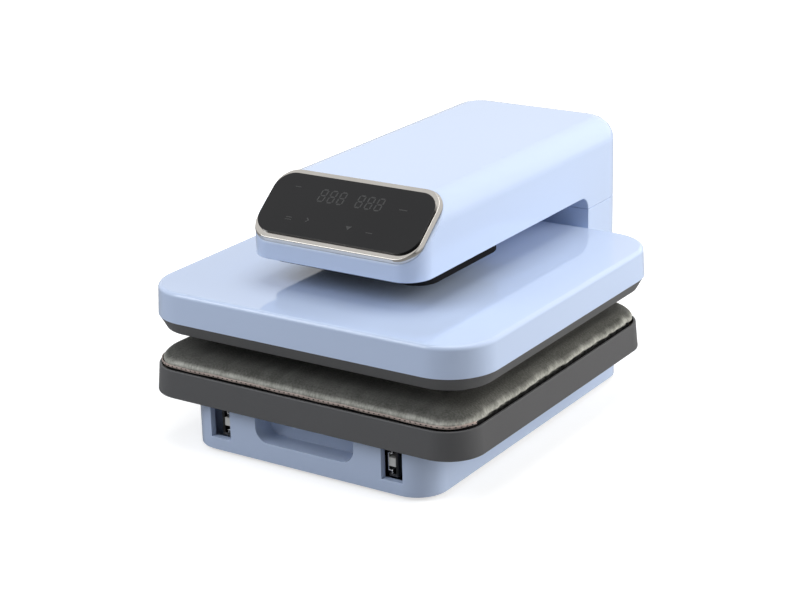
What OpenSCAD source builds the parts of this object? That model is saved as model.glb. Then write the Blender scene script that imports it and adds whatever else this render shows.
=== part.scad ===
// Flat heat press: a motor in the arm lowers a heated platen onto a padded tray,
// and the tray pulls out to the front on two telescopic slides.
// Millimetres, +Z up, standing on z = 0, front towards -Y, origin under the middle of the outline.

/* [Feet and base] */
// Height of the rubber feet
foot_h = 4; // [2:0.5:10]
// Diameter of a rubber foot
foot_d = 26; // [18:1:30]
// Distance from a foot's centre to the edges of the base
foot_inset = 30; // [20:1:40]
// Distance from a rear foot's centre to the rear of the base
rear_foot_inset = 18; // [16:1:19]
// Distance from a rear foot's centre to the side of the column
rear_foot_side = 40; // [36:1:60]
// Width of the base
base_w = 312; // [306:1:340]
// How far the front of the base stands behind the front of the cover
base_setback = 7; // [0:1:20]
// How far the wide part of the base reaches past the front of the column
base_lap = 6; // [0:1:20]
// Height of the base shell
base_h = 53; // [50:1:80]
// Corner radius of the base in plan
base_r = 35; // [25:1:45]
// Thickness of the steel floor plate
plate_t = 2; // [1.5:0.5:4]
// Wall of the moulded shells
wall = 3; // [2:0.5:4]

/* [Front of the base] */
// Width of the finger recess
grip_w = 127; // [90:1:150]
// Depth of the finger recess
grip_depth = 26; // [15:1:36]
// Height of the finger recess above the bottom of the base
grip_sill = 21.5; // [10:0.5:26]
// Radius of the lower corners of the finger recess
grip_r = 16; // [8:1:26]
// Distance between the inner edges of the slide windows
window_in = 196; // [192:1:204]
// Width of a slide window
window_w = 26; // [25:1:29]
// Height of the window sill above the bottom of the base
window_sill = 14; // [8:0.5:16]
// Depth of the frame moulded around a window
window_depth = 8; // [6:1:16]

/* [Column and arm] */
// Width of the arm and of the column
arm_w = 220; // [210:1:240]
// Depth of the column
column_d = 94; // [94:1:120]
// Space between the cover and the column
rear_gap = 14; // [6:1:30]
// How far the arm reaches in front of the press axis
arm_reach = 145; // [140:1:170]
// Height of the arm
arm_h = 79.5; // [78:0.5:100]
// Radius of the arm's front corners in plan
arm_r = 30; // [28:1:36]
// Radius of the rear corners of the arm and the column in plan
rear_r = 42; // [30:1:42]
// Rounding of the arm's top edges
arm_top_r = 28; // [10:1:28]
// Space between the cover and the arm when the press is open
arm_gap = 32.8; // [30:0.2:50]
// Rounding where the arm meets the column
throat_r = 16; // [6:1:18]

/* [Control panel] */
// Height of the band under the control panel
band_h = 19; // [15:0.5:30]
// Slope of the control panel
panel_tilt = 39; // [35:1:45]
// Space between the bezel and the arm's sides
bezel_side = 4; // [4:0.5:12]
// Space between the bezel and the upper and lower ends of the sloping face
bezel_end = 1; // [1:0.5:4]
// Corner radius of the bezel
bezel_r = 26; // [18:1:30]
// Thickness of the bezel
bezel_t = 5.5; // [3:0.5:6]
// How far the bezel's edge slopes in
bezel_slope = 2; // [1.5:0.5:4]
// Width of the bezel beside the glass
bezel_w = 6.5; // [4.5:0.5:8]
// Width of the bezel above and below the glass
bezel_h = 8.5; // [5:0.5:12]
// How far the control glass stands above the bezel
glass_rise = 2.5; // [1:0.5:3]
// Width of the bezel's flat rim left free beside the glass
bezel_rim = 1.5; // [0.5:0.5:2]
// Width of the ledge that carries the glass
ledge_w = 6; // [4:0.5:10]
// Thickness of the circuit boards
board_t = 1.6; // [1:0.2:2.4]

/* [Press head] */
// Width of the heated platen
platen_w = 381; // [340:1:420]
// Depth of the heated platen
platen_d = 381; // [340:1:420]
// How far the cover reaches past the platen, on each side
cover_edge = 19.5; // [16:0.5:30]
// Corner radius of the cover in plan
head_r = 55; // [30:1:70]
// Height of the cover
cover_h = 34; // [33:0.5:50]
// How much wider the cover is at its lower edge, on each side
cover_draft = 1.5; // [0:0.1:3]
// Rounding of the cover's top edge
cover_edge_r = 5; // [2:0.5:10]
// Height of the skirt under the cover
skirt_h = 15; // [12:0.5:20]
// How far the skirt slopes in, on each side
skirt_inset = 8.5; // [4:0.5:9]
// Thickness of the heated platen
platen_t = 12; // [8:0.5:14]
// Corner radius of the heated platen
platen_r = 12; // [4:1:30]
// How far the platen stands below the skirt
platen_proud = 2; // [0:0.5:5]
// Space around the platen inside the skirt
platen_gap = 1.5; // [1:0.1:4]
// Diameter of the tubular heating element
element_d = 8; // [5:0.5:10]
// Spacing of the heating element's runs
element_pitch = 84; // [70:1:90]
// Thickness of the insulation blanket
blanket_t = 12; // [6:0.5:14]
// Width of the steel bracket in the cover
bracket_w = 300; // [280:1:340]
// Depth of the steel bracket in the cover
bracket_d = 240; // [220:1:300]
// Thickness of the steel bracket
bracket_t = 5; // [3:0.5:6]
// Diameter of the spacers between bracket and platen
spacer_d = 16; // [10:1:20]
// How far the head comes down
press_travel = 21; // [15:0.5:24]

/* [Tray and pad] */
// How far the tray's rim reaches past the platen to each side
tray_side = 13; // [5:0.5:18]
// How far the tray's rim reaches past the platen to front and rear
tray_front = 14; // [5:0.5:18]
// Height of the tray
tray_h = 31; // [26:0.5:45]
// Corner radius of the tray in plan
tray_r = 40; // [25:1:60]
// How much wider the tray is at its lower edge, on each side
tray_flare = 2.8; // [0:0.2:5]
// Width of the tray's rim
tray_rim = 3; // [3:0.5:6]
// Thickness of the tray's floor
tray_floor = 3; // [2:0.5:5]
// How far the tray stands out of its home place
tray_out = 10; // [0:1:15]
// Height of the tray above the base
tray_gap = 2.4; // [2.4:0.1:5]
// Thickness of the board under the pad
pad_board_t = 18; // [10:0.5:20]
// Space between the pad and the tray's rim
pad_gap = 1.5; // [1.5:0.5:5]
// How far the middle of the pad stands above the rim
pad_rise = 16; // [8:0.5:18]
// Rounding of the pad's edge
pad_edge_r = 12; // [5:0.5:14]
// How much the middle of the pad swells above its edge
pad_crown = 3; // [1:0.5:5]
// How much the pad's sides draw in between the corners
pad_draw = 1.5; // [0:0.5:3]

/* [Slides] */
// Height of a slide
slide_h = 32; // [28:1:34]
// Length of a slide
slide_l = 350; // [330:5:380]
// Sheet thickness of a slide
slide_t = 1.2; // [1:0.1:1.4]
// Depth of a slide's outer member
slide_depth = 11; // [10.5:0.5:13]
// Thickness of the tray's slide brackets
tray_bracket_t = 2; // [1.5:0.5:3]

/* [Drive] */
// Thickness of the steel spine plates
spine_t = 5; // [4:0.5:8]
// Space between a spine plate and the wall of the arm
spine_side = 18; // [6:1:20]
// Height of the spine's arm
spine_arm_h = 34; // [20:1:40]
// Height of the spine's foot
spine_foot_h = 30; // [20:1:40]
// Depth of the spine's upright
spine_up_d = 60; // [40:1:62]
// Thickness of the drive plate
drive_t = 8; // [6:0.5:12]
// Diameter of the lead screw
screw_d = 16; // [12:1:20]
// Diameter of the lead screw's top journal
journal_d = 12; // [8:1:12]
// Diameter of the guide rods
rod_d = 12; // [8:1:14]
// Space between a guide bush and the spine plate beside it
rod_edge = 21; // [1:0.5:22]
// Module of the drive gears
gear_module = 2; // [1.8:0.1:2]
// Teeth of the gear on the lead screw
gear_teeth = 36; // [36:1:38]
// Teeth of the motor pinion
pinion_teeth = 12; // [12:1:14]
// Face width of the drive gears
gear_t = 8; // [6:0.5:10]
// Diameter of the motor
motor_d = 42; // [30:1:44]
// Height of the motor
motor_h = 38; // [34:1:40]
// Diameter of the motor's shaft
shaft_d = 6; // [4:0.5:8]
// Thickness of the black plate under the arm
under_plate_t = 14; // [8:0.5:15]
// Space between the black plate under the arm and the arm's side
under_side = 7; // [5:0.5:20]

/* [Rear panel] */
// Width of the rear cover
rear_w = 132; // [124:1:134]
// Height of the rear cover
rear_h = 110; // [100:1:120]
// Height of the inlet and the switch above the rear cover's lower edge
socket_z = 22; // [18:1:30]
// How far the rear fittings reach inwards
socket_depth = 18; // [14:1:19]
// Tilt of the rocker on each side of level
rocker_tilt = 8; // [5:1:12]
// Number of ventilation slots
vent_count = 7; // [3:1:8]

/* [Fits] */
// Space between neighbouring pieces
gap = 0.3; // [0.2:0.05:0.5]
// Radial clearance of shafts in their bearings
run = 0.05; // [0.02:0.01:0.1]

/* [Hidden] */
$fn = 72;

// Colours of the finishes
sky = [0.80, 0.87, 0.96];
graphite = [0.36, 0.36, 0.37];
black = [0.08, 0.08, 0.09];
steel = [0.70, 0.71, 0.73];
alloy = [0.80, 0.81, 0.83];
brass = [0.80, 0.65, 0.35];
nylon = [0.92, 0.91, 0.88];
felt = [0.42, 0.42, 0.39];
fibreboard = [0.62, 0.50, 0.36];
board_green = [0.10, 0.32, 0.20];

// Overshoot of cuts past the faces that they open
cut = 1;

// Rocker of the power switch, about its pivot
rocker_w = 14;
rocker_h = 22;
rocker_face = 6.5;
rocker_pivot = 6;
rocker_pin_d = 3;
rocker_pin_l = 2;
rocker_proud = rocker_face*cos(rocker_tilt) + rocker_h/2*sin(rocker_tilt) - rocker_pivot;

// Plan sizes that follow the platen
head_w = platen_w + 2*cover_edge;
head_d = platen_d + 2*cover_edge;
tray_w = platen_w + 2*tray_side;
tray_d = platen_d + 2*tray_front;

// Places from front to back
front_reach = tray_d/2 + tray_flare + tray_out;
rear_reach = head_d/2 + rear_gap + column_d + rocker_proud;
press_y = (front_reach - rear_reach)/2;
tray_y = press_y - tray_out;
arm_y0 = press_y - arm_reach;
column_y0 = press_y + head_d/2 + rear_gap;
column_y1 = column_y0 + column_d;
column_y = (column_y0 + column_y1)/2;
base_y0 = press_y - head_d/2 + base_setback;
base_y1 = column_y0 + base_lap;
base_y = (base_y0 + base_y1)/2;
base_d = base_y1 - base_y0;

// Heights
base_top = foot_h + base_h;
floor_top = foot_h + plate_t;
tray_z0 = base_top + tray_gap;
tray_z1 = tray_z0 + tray_h;
pad_z0 = tray_z0 + tray_floor + pad_board_t + gap;
pad_z1 = tray_z1 + pad_rise;
garment_gap = 0.5;
platen_z0 = pad_z1 + press_travel + garment_gap;
platen_z1 = platen_z0 + platen_t;
skirt_z0 = platen_z0 + platen_proud;
cover_z0 = skirt_z0 + skirt_h;
cover_z1 = cover_z0 + cover_h;
bracket_z1 = cover_z1 - wall;
bracket_z0 = bracket_z1 - bracket_t;
element_z = platen_z1 + gap/2 + element_d/2;
blanket_z0 = element_z + element_d/2 + gap/2;
arm_z0 = cover_z1 + arm_gap;
arm_z1 = arm_z0 + arm_h;
parting_z = arm_z0 - throat_r;
drive_z0 = arm_z0 + wall;
drive_z1 = drive_z0 + drive_t;

// Slides, measured from the middle of the press to the right
slide_side = 1.5;
slide_lift = 1.7;
inner_x0 = window_in/2 + slide_side + tray_bracket_t;
slide_x = inner_x0 + slide_t + gap + slide_depth;
slide_y0 = base_y0 + window_depth;
slide_z0 = foot_h + window_sill + slide_lift;
slide_z = slide_z0 + slide_h/2;
lip_out = 3;
lip_mid = 2.5;
middle_h = slide_h - 2*slide_t - 2*gap;
middle_x = slide_x - slide_t - gap;
middle_depth = slide_depth - 2*slide_t - 2*gap;
inner_top = middle_h - 2*slide_t - 2*gap;
inner_h = inner_top - 2*lip_mid - 2*gap;
inner_x1 = middle_x - middle_depth + slide_t + gap + slide_t;
bracket_inset = 10;
slot_y1 = slide_y0 + slide_l + tray_out + gap;

// Drive train
gear_span = gear_module*(gear_teeth + pinion_teeth)/2;
motor_y = press_y - gear_span;
motor_z1 = drive_z1 + motor_h;
gear_lift = 4;
gear_z0 = motor_z1 + gear_lift;
gear_z1 = gear_z0 + gear_t;
shaft_end = 3;
shaft_seat = 10;
boss_h = 2;
screw_foot = 6;
screw_z0 = platen_z1 + screw_foot;
screw_z1 = gear_z1 + shaft_end;
journal_l = 12;
journal_z = gear_z0 - journal_l;
bearing_wall = 9.5;
bearing_d = screw_d + 2*bearing_wall;
bearing_h = 11;
bearing_lip = 1.5;
bearing_ledge = 4;
bearing_z1 = drive_z0 + bearing_lip + bearing_h;
collar_wall = 6;
collar_h = 9;
bush_wall = 4;
bush_d = rod_d + 2*bush_wall;
bush_up = 16;
bush_z1 = drive_z1 + bush_up;
bush_flange = 5;
bush_flange_t = 4;
rod_spare = 3;
rod_z1 = bush_z1 + press_travel + rod_spare;
nut_wall = 6;
nut_d = screw_d + 2*nut_wall;
nut_flange = 10;
nut_flange_d = nut_d + 2*nut_flange;
nut_down = 12;
nut_z0 = bracket_z0 - nut_down;
nut_up = 3;
nut_z1 = cover_z1 + nut_up;
drive_edge = 12;
drive_rear = 45;

// Spread of the spine plates and the guide rods
spine_in = arm_w - 2*(wall + spine_side + spine_t);
rod_span = spine_in - 2*(rod_edge + bush_flange) - bush_d;

// Spine: places from the front of the base, the front of the arm and the front of the column
spine_front = 45;
spine_arm_front = 58;
spine_back = 8;
spine_y0 = base_y0 + spine_front;
spine_y1 = column_y0 + spine_back + spine_up_d;

// Black plate under the arm
under_plate_w = arm_w - 2*under_side;
under_front = 26;
under_rear = 42;
under_r = 24;
under_hole = 2;
under_y0 = arm_y0 + under_front;
under_y1 = press_y + under_rear;

// Fasteners and spacers of the head, from the press axis
spacer_x = 120;
spacer_y = 90;
screw_x = 45;
screw_y = 60;
bolt_d = 4;
bolt_head_d = 8;
bolt_head_h = 2.2;
bolt_boss = 3;
bolt_grip = 10;
bolt_spare = 2;
fastener_gap = 2;

// Rear fittings
rear_lift = 18;
rear_z0 = base_top + rear_lift;
fitting_z = rear_z0 + socket_z;
fitting_edge = 20;
inlet_x = -rear_w/2 + 2*fitting_edge;
inlet_w = 27;
inlet_h = 20;
switch_x = 18;
fuse_x = rear_w/2 - fitting_edge;
fuse_d = 12;
board_edge = 10;
board_z0 = rear_z0 + 2*board_edge;
board_z1 = rear_z0 + rear_h - board_edge;
flange_lip = 3;
flange_t = 1.5;
fitting_wall = 1.5;
fitting_back = 2;
rocker_room = 2;
switch_w = rocker_w + 2*rocker_pin_l + 2*fitting_wall;
switch_h = rocker_h + 2*rocker_room + 2*fitting_wall;
pin_w = 2;
pin_h = 5;
pin_recess = 6;
rear_screw_d = 3;
rear_screw_head_d = 6;
rear_screw_head_h = 1.6;
rear_screw_grip = 4;
rear_screw_inset = 6;
vent_inset = 25;
vent_h = 3;
vent_pitch = 7;

// A rounded rectangle about the origin
module plate2d(w, d, r) {
    square([w - 2*r, d], center = true);
    square([w, d - 2*r], center = true);
    for (sx = [-1, 1], sy = [-1, 1])
        translate([sx*(w/2 - r), sy*(d/2 - r)]) circle(r);
}

// A rounded plate between two heights
module slab(w, d, r, z0, z1) {
    translate([0, 0, z0]) linear_extrude(z1 - z0) plate2d(w, d, r);
}

// A block given by its lowest and highest corners
module block(low, high) {
    translate(low) cube(high - low);
}

// A mirrored pair, to the right and to the left
module both_sides() {
    children();
    mirror([1, 0, 0]) children();
}

// A solid with a rounded plan: the profile runs outwards from the corner centres
module loaf(w, d, r, z0, z1) {
    run_x = w - 2*r;
    run_y = d - 2*r;
    block([-run_x/2, -run_y/2, z0], [run_x/2, run_y/2, z1]);
    for (turn = [0, 180]) rotate(turn) {
        translate([run_x/2, run_y/2, 0]) rotate([90, 0, 0]) linear_extrude(run_y) children();
        translate([run_x/2, run_y/2, 0]) rotate_extrude(angle = 90) children();
        rotate(90) {
            translate([run_y/2, run_x/2, 0]) rotate([90, 0, 0]) linear_extrude(run_x) children();
            translate([run_y/2, run_x/2, 0]) rotate_extrude(angle = 90) children();
        }
    }
}

// A round bar between two heights
module bar(d, z0, z1) {
    translate([0, 0, z0]) cylinder(d = d, h = z1 - z0);
}

// Places of the feet
module at_feet() {
    both_sides() {
        translate([base_w/2 - foot_inset, base_y0 + foot_inset, 0]) children();
        translate([arm_w/2 - rear_foot_side, column_y1 - rear_foot_inset, 0]) children();
    }
}

// Base: plan of the wide part and of the foot of the column
module base_plan(inset) {
    translate([0, base_y]) plate2d(base_w - 2*inset, base_d - 2*inset, base_r - inset);
    translate([0, (base_y + column_y1)/2])
        plate2d(arm_w - 2*inset, column_y1 - base_y - 2*inset, rear_r - inset);
}

// Column: square corners at the front, rounded ones at the rear
module column_post(inset, z0, z1) {
    w = arm_w - 2*inset;
    d = column_d - 2*inset;
    translate([0, column_y, z0]) linear_extrude(z1 - z0) {
        plate2d(w, d, rear_r - inset);
        translate([-w/2, -d/2]) square([w, d/2]);
    }
}

// Finger recess seen from the front, grown on all sides and open at the top
module grip2d(grow) {
    r = grip_r + grow;
    w = grip_w + 2*grow;
    z0 = foot_h + grip_sill - grow;
    intersection() {
        translate([-w/2, z0]) square([w, base_top - z0]);
        union() {
            translate([-w/2, z0 + r]) square([w, base_h]);
            translate([-w/2 + r, z0]) square([w - 2*r, base_h]);
            for (side = [-1, 1]) translate([side*(w/2 - r), z0 + r]) circle(r);
        }
    }
}

module base_shell() {
    boss_d = bolt_d + 2*bolt_boss;
    window_z = foot_h + window_sill;
    color(sky) difference() {
        union() {
            difference() {
                translate([0, 0, foot_h]) linear_extrude(base_h) base_plan(0);
                translate([0, 0, foot_h - cut]) linear_extrude(base_h - wall + cut) base_plan(wall);
            }
            translate([0, base_y0 + wall/2 + grip_depth + wall/2, 0]) rotate([90, 0, 0])
                linear_extrude(grip_depth + wall/2) grip2d(wall);
            both_sides()
                block([window_in/2 - wall, base_y0 + wall/2, window_z - wall],
                      [window_in/2 + window_w + wall, base_y0 + window_depth, base_top - wall/2]);
            intersection() {
                translate([0, 0, floor_top]) linear_extrude(base_top - wall/2 - floor_top) base_plan(wall/2);
                at_feet() {
                    bar(boss_d, floor_top, base_top);
                    block([0, -wall/2, floor_top], [rear_foot_side, wall/2, base_top]);
                }
            }
        }
        translate([0, base_y0 + grip_depth, 0]) rotate([90, 0, 0])
            linear_extrude(grip_depth + cut) grip2d(0);
        translate([-grip_w/2, base_y0 - cut, base_top - wall])
            cube([grip_w, grip_depth + cut, wall + cut]);
        both_sides()
            block([window_in/2, base_y0 - cut, window_z],
                  [window_in/2 + window_w, slot_y1, base_top + cut]);
        column_post(wall, base_top - wall - cut, base_top + cut);
        at_feet() bar(bolt_d + 2*run, floor_top - cut, floor_top + bolt_grip + bolt_spare);
    }
}

module base_plate() {
    color(steel) {
        difference() {
            translate([0, 0, foot_h]) linear_extrude(plate_t) base_plan(wall + gap);
            at_feet() bar(bolt_d + 2*run, foot_h - cut, floor_top + cut);
        }
        both_sides()
            block([slide_x, slide_y0 + bracket_inset, floor_top],
                  [slide_x + plate_t, slide_y0 + slide_l, slide_z0 + slide_h - slide_lift]);
    }
}

module rubber_feet() {
    sink_d = bolt_head_d + 2;
    color(black) at_feet() difference() {
        bar(foot_d, 0, foot_h);
        bar(sink_d, -cut, foot_h/2);
        bar(bolt_d + 2*run, 0, foot_h + cut);
    }
}

module foot_screws() {
    color(steel) at_feet() {
        bar(bolt_head_d, foot_h/2 - min(bolt_head_h, foot_h/2 - gap), foot_h/2);
        bar(bolt_d, foot_h/2, floor_top + bolt_grip);
    }
}

// One side of the spine: foot, upright and arm cut from one plate
module spine() {
    top = drive_z0 + spine_arm_h;
    foot_top = floor_top + spine_foot_h;
    rotate([90, 0, 90]) linear_extrude(spine_t) difference() {
        translate([spine_y0, floor_top]) square([spine_y1 - spine_y0, top - floor_top]);
        translate([spine_y0 - cut, foot_top])
            square([spine_y1 - spine_up_d - spine_y0 + cut, drive_z0 - foot_top]);
        translate([spine_y0 - cut, drive_z0 - cut])
            square([arm_y0 + spine_arm_front - spine_y0 + cut, spine_arm_h + 2*cut]);
    }
}

module spine_left() {
    color(steel) translate([-spine_in/2 - spine_t, 0, 0]) spine();
}

module spine_right() {
    color(steel) translate([spine_in/2, 0, 0]) spine();
}

module spine_ties() {
    tie_d = 14;
    tie_y = spine_y1 - spine_up_d/2;
    places = [
        [spine_y0 + tie_d, floor_top + spine_foot_h/2],
        [tie_y, base_top + tie_d],
        [tie_y, parting_z - tie_d/2]
    ];
    color(steel) for (place = places)
        translate([-spine_in/2, place[0], place[1]]) rotate([0, 90, 0]) cylinder(d = tie_d, h = spine_in);
}

module drive_plate() {
    color(steel) difference() {
        block([-spine_in/2, motor_y - motor_d/2 - drive_edge, drive_z0],
              [spine_in/2, press_y + drive_rear, drive_z1]);
        translate([0, press_y, 0]) {
            bar(bearing_d + 2*run, drive_z0 + bearing_lip, drive_z1 + cut);
            bar(bearing_d - 2*bearing_ledge, drive_z0 - cut, drive_z1);
            both_sides() translate([rod_span/2, 0, 0]) bar(bush_d + 2*run, drive_z0 - cut, drive_z1 + cut);
        }
    }
}

module column_shell() {
    color(sky) difference() {
        column_post(0, base_top, parting_z);
        column_post(wall, base_top - cut, parting_z + cut);
        block([-rear_w/2, column_y, rear_z0], [rear_w/2, column_y1 + cut, rear_z0 + rear_h]);
    }
}

// Cut through the rear wall for a fitting
module rear_cut(x, w, h) {
    translate([x - w/2, column_y1 - wall - cut, fitting_z - h/2]) cube([w, wall + 2*cut, h]);
}

module rear_cover() {
    vent_w = rear_w - 2*vent_inset;
    vent_z = rear_z0 + 2*socket_z + vent_h;
    color(sky) difference() {
        block([-rear_w/2 + gap, column_y1 - wall, rear_z0 + gap],
              [rear_w/2 - gap, column_y1, rear_z0 + rear_h - gap]);
        rear_cut(inlet_x, inlet_w + 2*gap, inlet_h + 2*gap);
        rear_cut(switch_x, switch_w + 2*gap, switch_h + 2*gap);
        translate([fuse_x, column_y1 + cut, fitting_z]) rotate([90, 0, 0])
            cylinder(d = fuse_d + 2*gap, h = wall + 2*cut);
        for (i = [0:vent_count - 1])
            translate([-vent_w/2, column_y1 - wall - cut, vent_z + i*vent_pitch])
                cube([vent_w, wall + 2*cut, vent_h]);
        rear_screw_places() cylinder(d = rear_screw_d + 2*run, h = 2*wall + 2*cut, center = true);
    }
}

// Places of the rear cover's screws, their axes out of the rear face
module rear_screw_places() {
    for (sx = [-1, 1], z = [rear_z0 + rear_screw_inset, rear_z0 + rear_h - rear_screw_inset])
        translate([sx*(rear_w/2 - rear_screw_inset), column_y1, z]) rotate([-90, 0, 0]) children();
}

module rear_cover_screws() {
    color(steel) rear_screw_places() {
        cylinder(d = rear_screw_head_d, h = rear_screw_head_h);
        translate([0, 0, -wall - rear_screw_grip]) cylinder(d = rear_screw_d, h = wall + rear_screw_grip);
    }
}

// A box set in the rear cover, open to the rear, with a flange on the outside
module rear_box(x, w, h) {
    translate([x, column_y1, fitting_z]) difference() {
        union() {
            block([-w/2, -socket_depth, -h/2], [w/2, 0, h/2]);
            block([-w/2 - flange_lip, 0, -h/2 - flange_lip], [w/2 + flange_lip, flange_t, h/2 + flange_lip]);
        }
        block([-w/2 + fitting_wall, -socket_depth + fitting_back, -h/2 + fitting_wall],
              [w/2 - fitting_wall, flange_t + cut, h/2 - fitting_wall]);
        children();
    }
}

module mains_inlet() {
    color(black) rear_box(inlet_x, inlet_w, inlet_h)
        for (pin = inlet_pin_places())
            translate([pin[0] - pin_w/2 - run, -socket_depth - cut, pin[1] - pin_h/2 - run])
                cube([pin_w + 2*run, socket_depth, pin_h + 2*run]);
}

// Contact places in the inlet: two below, the earth above
function inlet_pin_places() = [[-7, -2], [7, -2], [0, 2]];

module inlet_pins() {
    color(steel) for (pin = inlet_pin_places())
        translate([inlet_x + pin[0] - pin_w/2, column_y1 - socket_depth - cut, fitting_z + pin[1] - pin_h/2])
            cube([pin_w, socket_depth + cut - pin_recess, pin_h]);
}

module switch_housing() {
    color(black) {
        rear_box(switch_x, switch_w, switch_h);
        both_sides_of(switch_x) rocker_bearing();
    }
}

// A mirrored pair about a plane at x
module both_sides_of(x) {
    for (side = [0, 1]) translate([x, 0, 0]) mirror([side, 0, 0]) children();
}

// Cheek beside the rocker, with the bearing of its pin
module rocker_bearing() {
    x0 = rocker_w/2 + gap;
    x1 = rocker_w/2 + rocker_pin_l;
    half_h = rocker_pin_d/2 + 2*rocker_room;
    difference() {
        block([x0, column_y1 - socket_depth + fitting_back, fitting_z - half_h],
              [x1, column_y1, fitting_z + half_h]);
        translate([0, column_y1 - rocker_pivot, fitting_z]) rotate([0, 90, 0])
            cylinder(d = rocker_pin_d + 2*run, h = rocker_w);
    }
}

module switch_rocker() {
    dish = 1.6;
    back = -5;
    color(black) translate([switch_x, column_y1 - rocker_pivot, fitting_z]) rotate([-rocker_tilt, 0, 0]) {
        rotate([90, 0, 90]) translate([0, 0, -rocker_w/2]) linear_extrude(rocker_w) polygon([
            [back, -rocker_h/4], [rocker_face - dish, -rocker_h/2], [rocker_face, -rocker_h/2],
            [rocker_face - dish, 0],
            [rocker_face, rocker_h/2], [rocker_face - dish, rocker_h/2], [back, rocker_h/4]
        ]);
        rotate([0, 90, 0]) cylinder(d = rocker_pin_d, h = rocker_w + 2*rocker_pin_l - 2*gap, center = true);
    }
}

module fuse_holder() {
    cap_h = 1.8;
    slot_w = 1.4;
    slot_depth = 1;
    color(black) translate([fuse_x, column_y1, fitting_z]) rotate([90, 0, 0]) {
        cylinder(d = fuse_d, h = socket_depth);
        difference() {
            translate([0, 0, -cap_h]) cylinder(d = fuse_d + 2*flange_lip, h = cap_h);
            translate([-fuse_d/2, -slot_w/2, -cap_h - cut]) cube([fuse_d, slot_w, cut + slot_depth]);
        }
    }
}

// Power board across the back of the spine
module power_board() {
    half_w = spine_in/2 + spine_t;
    color(board_green) block([-half_w, spine_y1, board_z0], [half_w, spine_y1 + board_t, board_z1]);
}

// A part on the power board: middle and lower edge of its foot, then width, height and depth
module board_box(x, z, size) {
    block([x - size[0]/2, spine_y1 - size[2], board_z0 + z], [x + size[0]/2, spine_y1, board_z0 + z + size[1]]);
}

module power_parts() {
    transformer = [48, 40, 34];
    relay = [28, 22, 16];
    fin = [4, 28, 24];
    fin_count = 5;
    fin_pitch = 12;
    capacitor_d = 16;
    capacitor_l = 30;
    margin = 6;
    capacitor_pitch = capacitor_d + margin;
    row = margin + transformer[1] + margin;
    color(graphite) {
        board_box(-transformer[0]/2 - 2*margin, margin, transformer);
        board_box(2*capacitor_pitch + relay[0]/2, margin, relay);
        for (i = [0, 1]) translate([(i + 0.5)*capacitor_pitch, spine_y1, board_z0 + margin + capacitor_d/2])
            rotate([90, 0, 0]) cylinder(d = capacitor_d, h = capacitor_l);
        for (i = [0:fin_count - 1]) board_box(i*fin_pitch, row, fin);
    }
}

// One end of the upper housing, with rounded corners and top edges, reaching forwards from the press axis
module arm_length(d, r, inset) {
    w = arm_w - 2*inset;
    run_x = w - 2*r;
    run_y = d - r;
    top = arm_z1 - inset;
    block([-run_x/2, -run_y, parting_z], [run_x/2, 0, top]);
    both_sides() {
        translate([run_x/2, 0, 0]) rotate([90, 0, 0]) linear_extrude(run_y) arm_profile(r, inset);
        translate([run_x/2, -run_y, 0]) rotate(-90) rotate_extrude(angle = 90) arm_profile(r, inset);
    }
    rotate(-90) translate([run_y, run_x/2, 0]) rotate([90, 0, 0]) linear_extrude(run_x) arm_profile(r, inset);
}

// Section of the upper housing from the corner centre to its outer face
module arm_profile(r, inset) {
    top = arm_z1 - inset;
    edge = arm_top_r - inset;
    translate([0, parting_z]) square([r - edge, top - parting_z]);
    translate([0, parting_z]) square([r, top - edge - parting_z]);
    translate([r - edge, top - edge]) intersection() {
        circle(edge);
        square(edge);
    }
}

// Upper housing: the arm's front corners and the column's rear corners have radii of their own
module arm_form(inset) {
    translate([0, press_y, 0]) {
        arm_length(arm_reach - inset, arm_r - inset, inset);
        rotate(180) arm_length(column_y1 - press_y - inset, rear_r - inset, inset);
    }
}

// Space under the arm, grown towards the shell
module throat(grow) {
    middle = column_y0 - throat_r;
    translate([arm_w, 0, 0]) rotate([90, 0, -90]) mirror([1, 0, 0]) linear_extrude(2*arm_w) {
        translate([arm_y0 - cut, parting_z - cut]) square([middle - arm_y0 + cut, throat_r + grow + cut]);
        translate([arm_y0 - cut, parting_z - cut]) square([column_y0 + grow - arm_y0 + cut, cut]);
        translate([middle, parting_z]) circle(throat_r + grow);
    }
}

// Space over the control panel, from a height along its normal
module over_panel(from, to) {
    reach = 2*arm_h/sin(panel_tilt);
    translate([0, arm_y0, arm_z0 + band_h]) rotate([panel_tilt, 0, 0])
        block([-arm_w, -reach, from], [arm_w, reach, to]);
}

// Control panel: its middle, with z along the normal of the sloping face
panel_l = (arm_h - band_h)/sin(panel_tilt);
bezel_out = [arm_w - 2*bezel_side, panel_l - 2*bezel_end];
module on_panel() {
    translate([0, arm_y0, arm_z0 + band_h]) rotate([panel_tilt, 0, 0]) translate([0, panel_l/2, 0]) children();
}

// Opening of the bezel, drawn in on all sides
module bezel2d(inset) {
    plate2d(bezel_out[0] - 2*(bezel_w + inset), bezel_out[1] - 2*(bezel_h + inset), bezel_r - bezel_w - inset);
}

module arm_shell() {
    far = 4*arm_h;
    color(sky) difference() {
        arm_form(0);
        throat(0);
        over_panel(0, far);
        difference() {
            arm_cavity();
            throat(wall);
            over_panel(-wall, far);
        }
        on_panel() translate([0, 0, -2*wall]) linear_extrude(2*wall + cut) bezel2d(ledge_w);
        translate([0, (under_y0 + under_y1)/2, 0])
            slab(under_plate_w + 2*gap, under_y1 - under_y0 + 2*gap, under_r + gap,
                 arm_z0 - cut, arm_z0 + wall + cut);
    }
}

// Inside of the upper housing, open downwards into the column
module arm_cavity() {
    arm_form(wall);
    column_post(wall, parting_z - cut, parting_z + cut);
}

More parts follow.
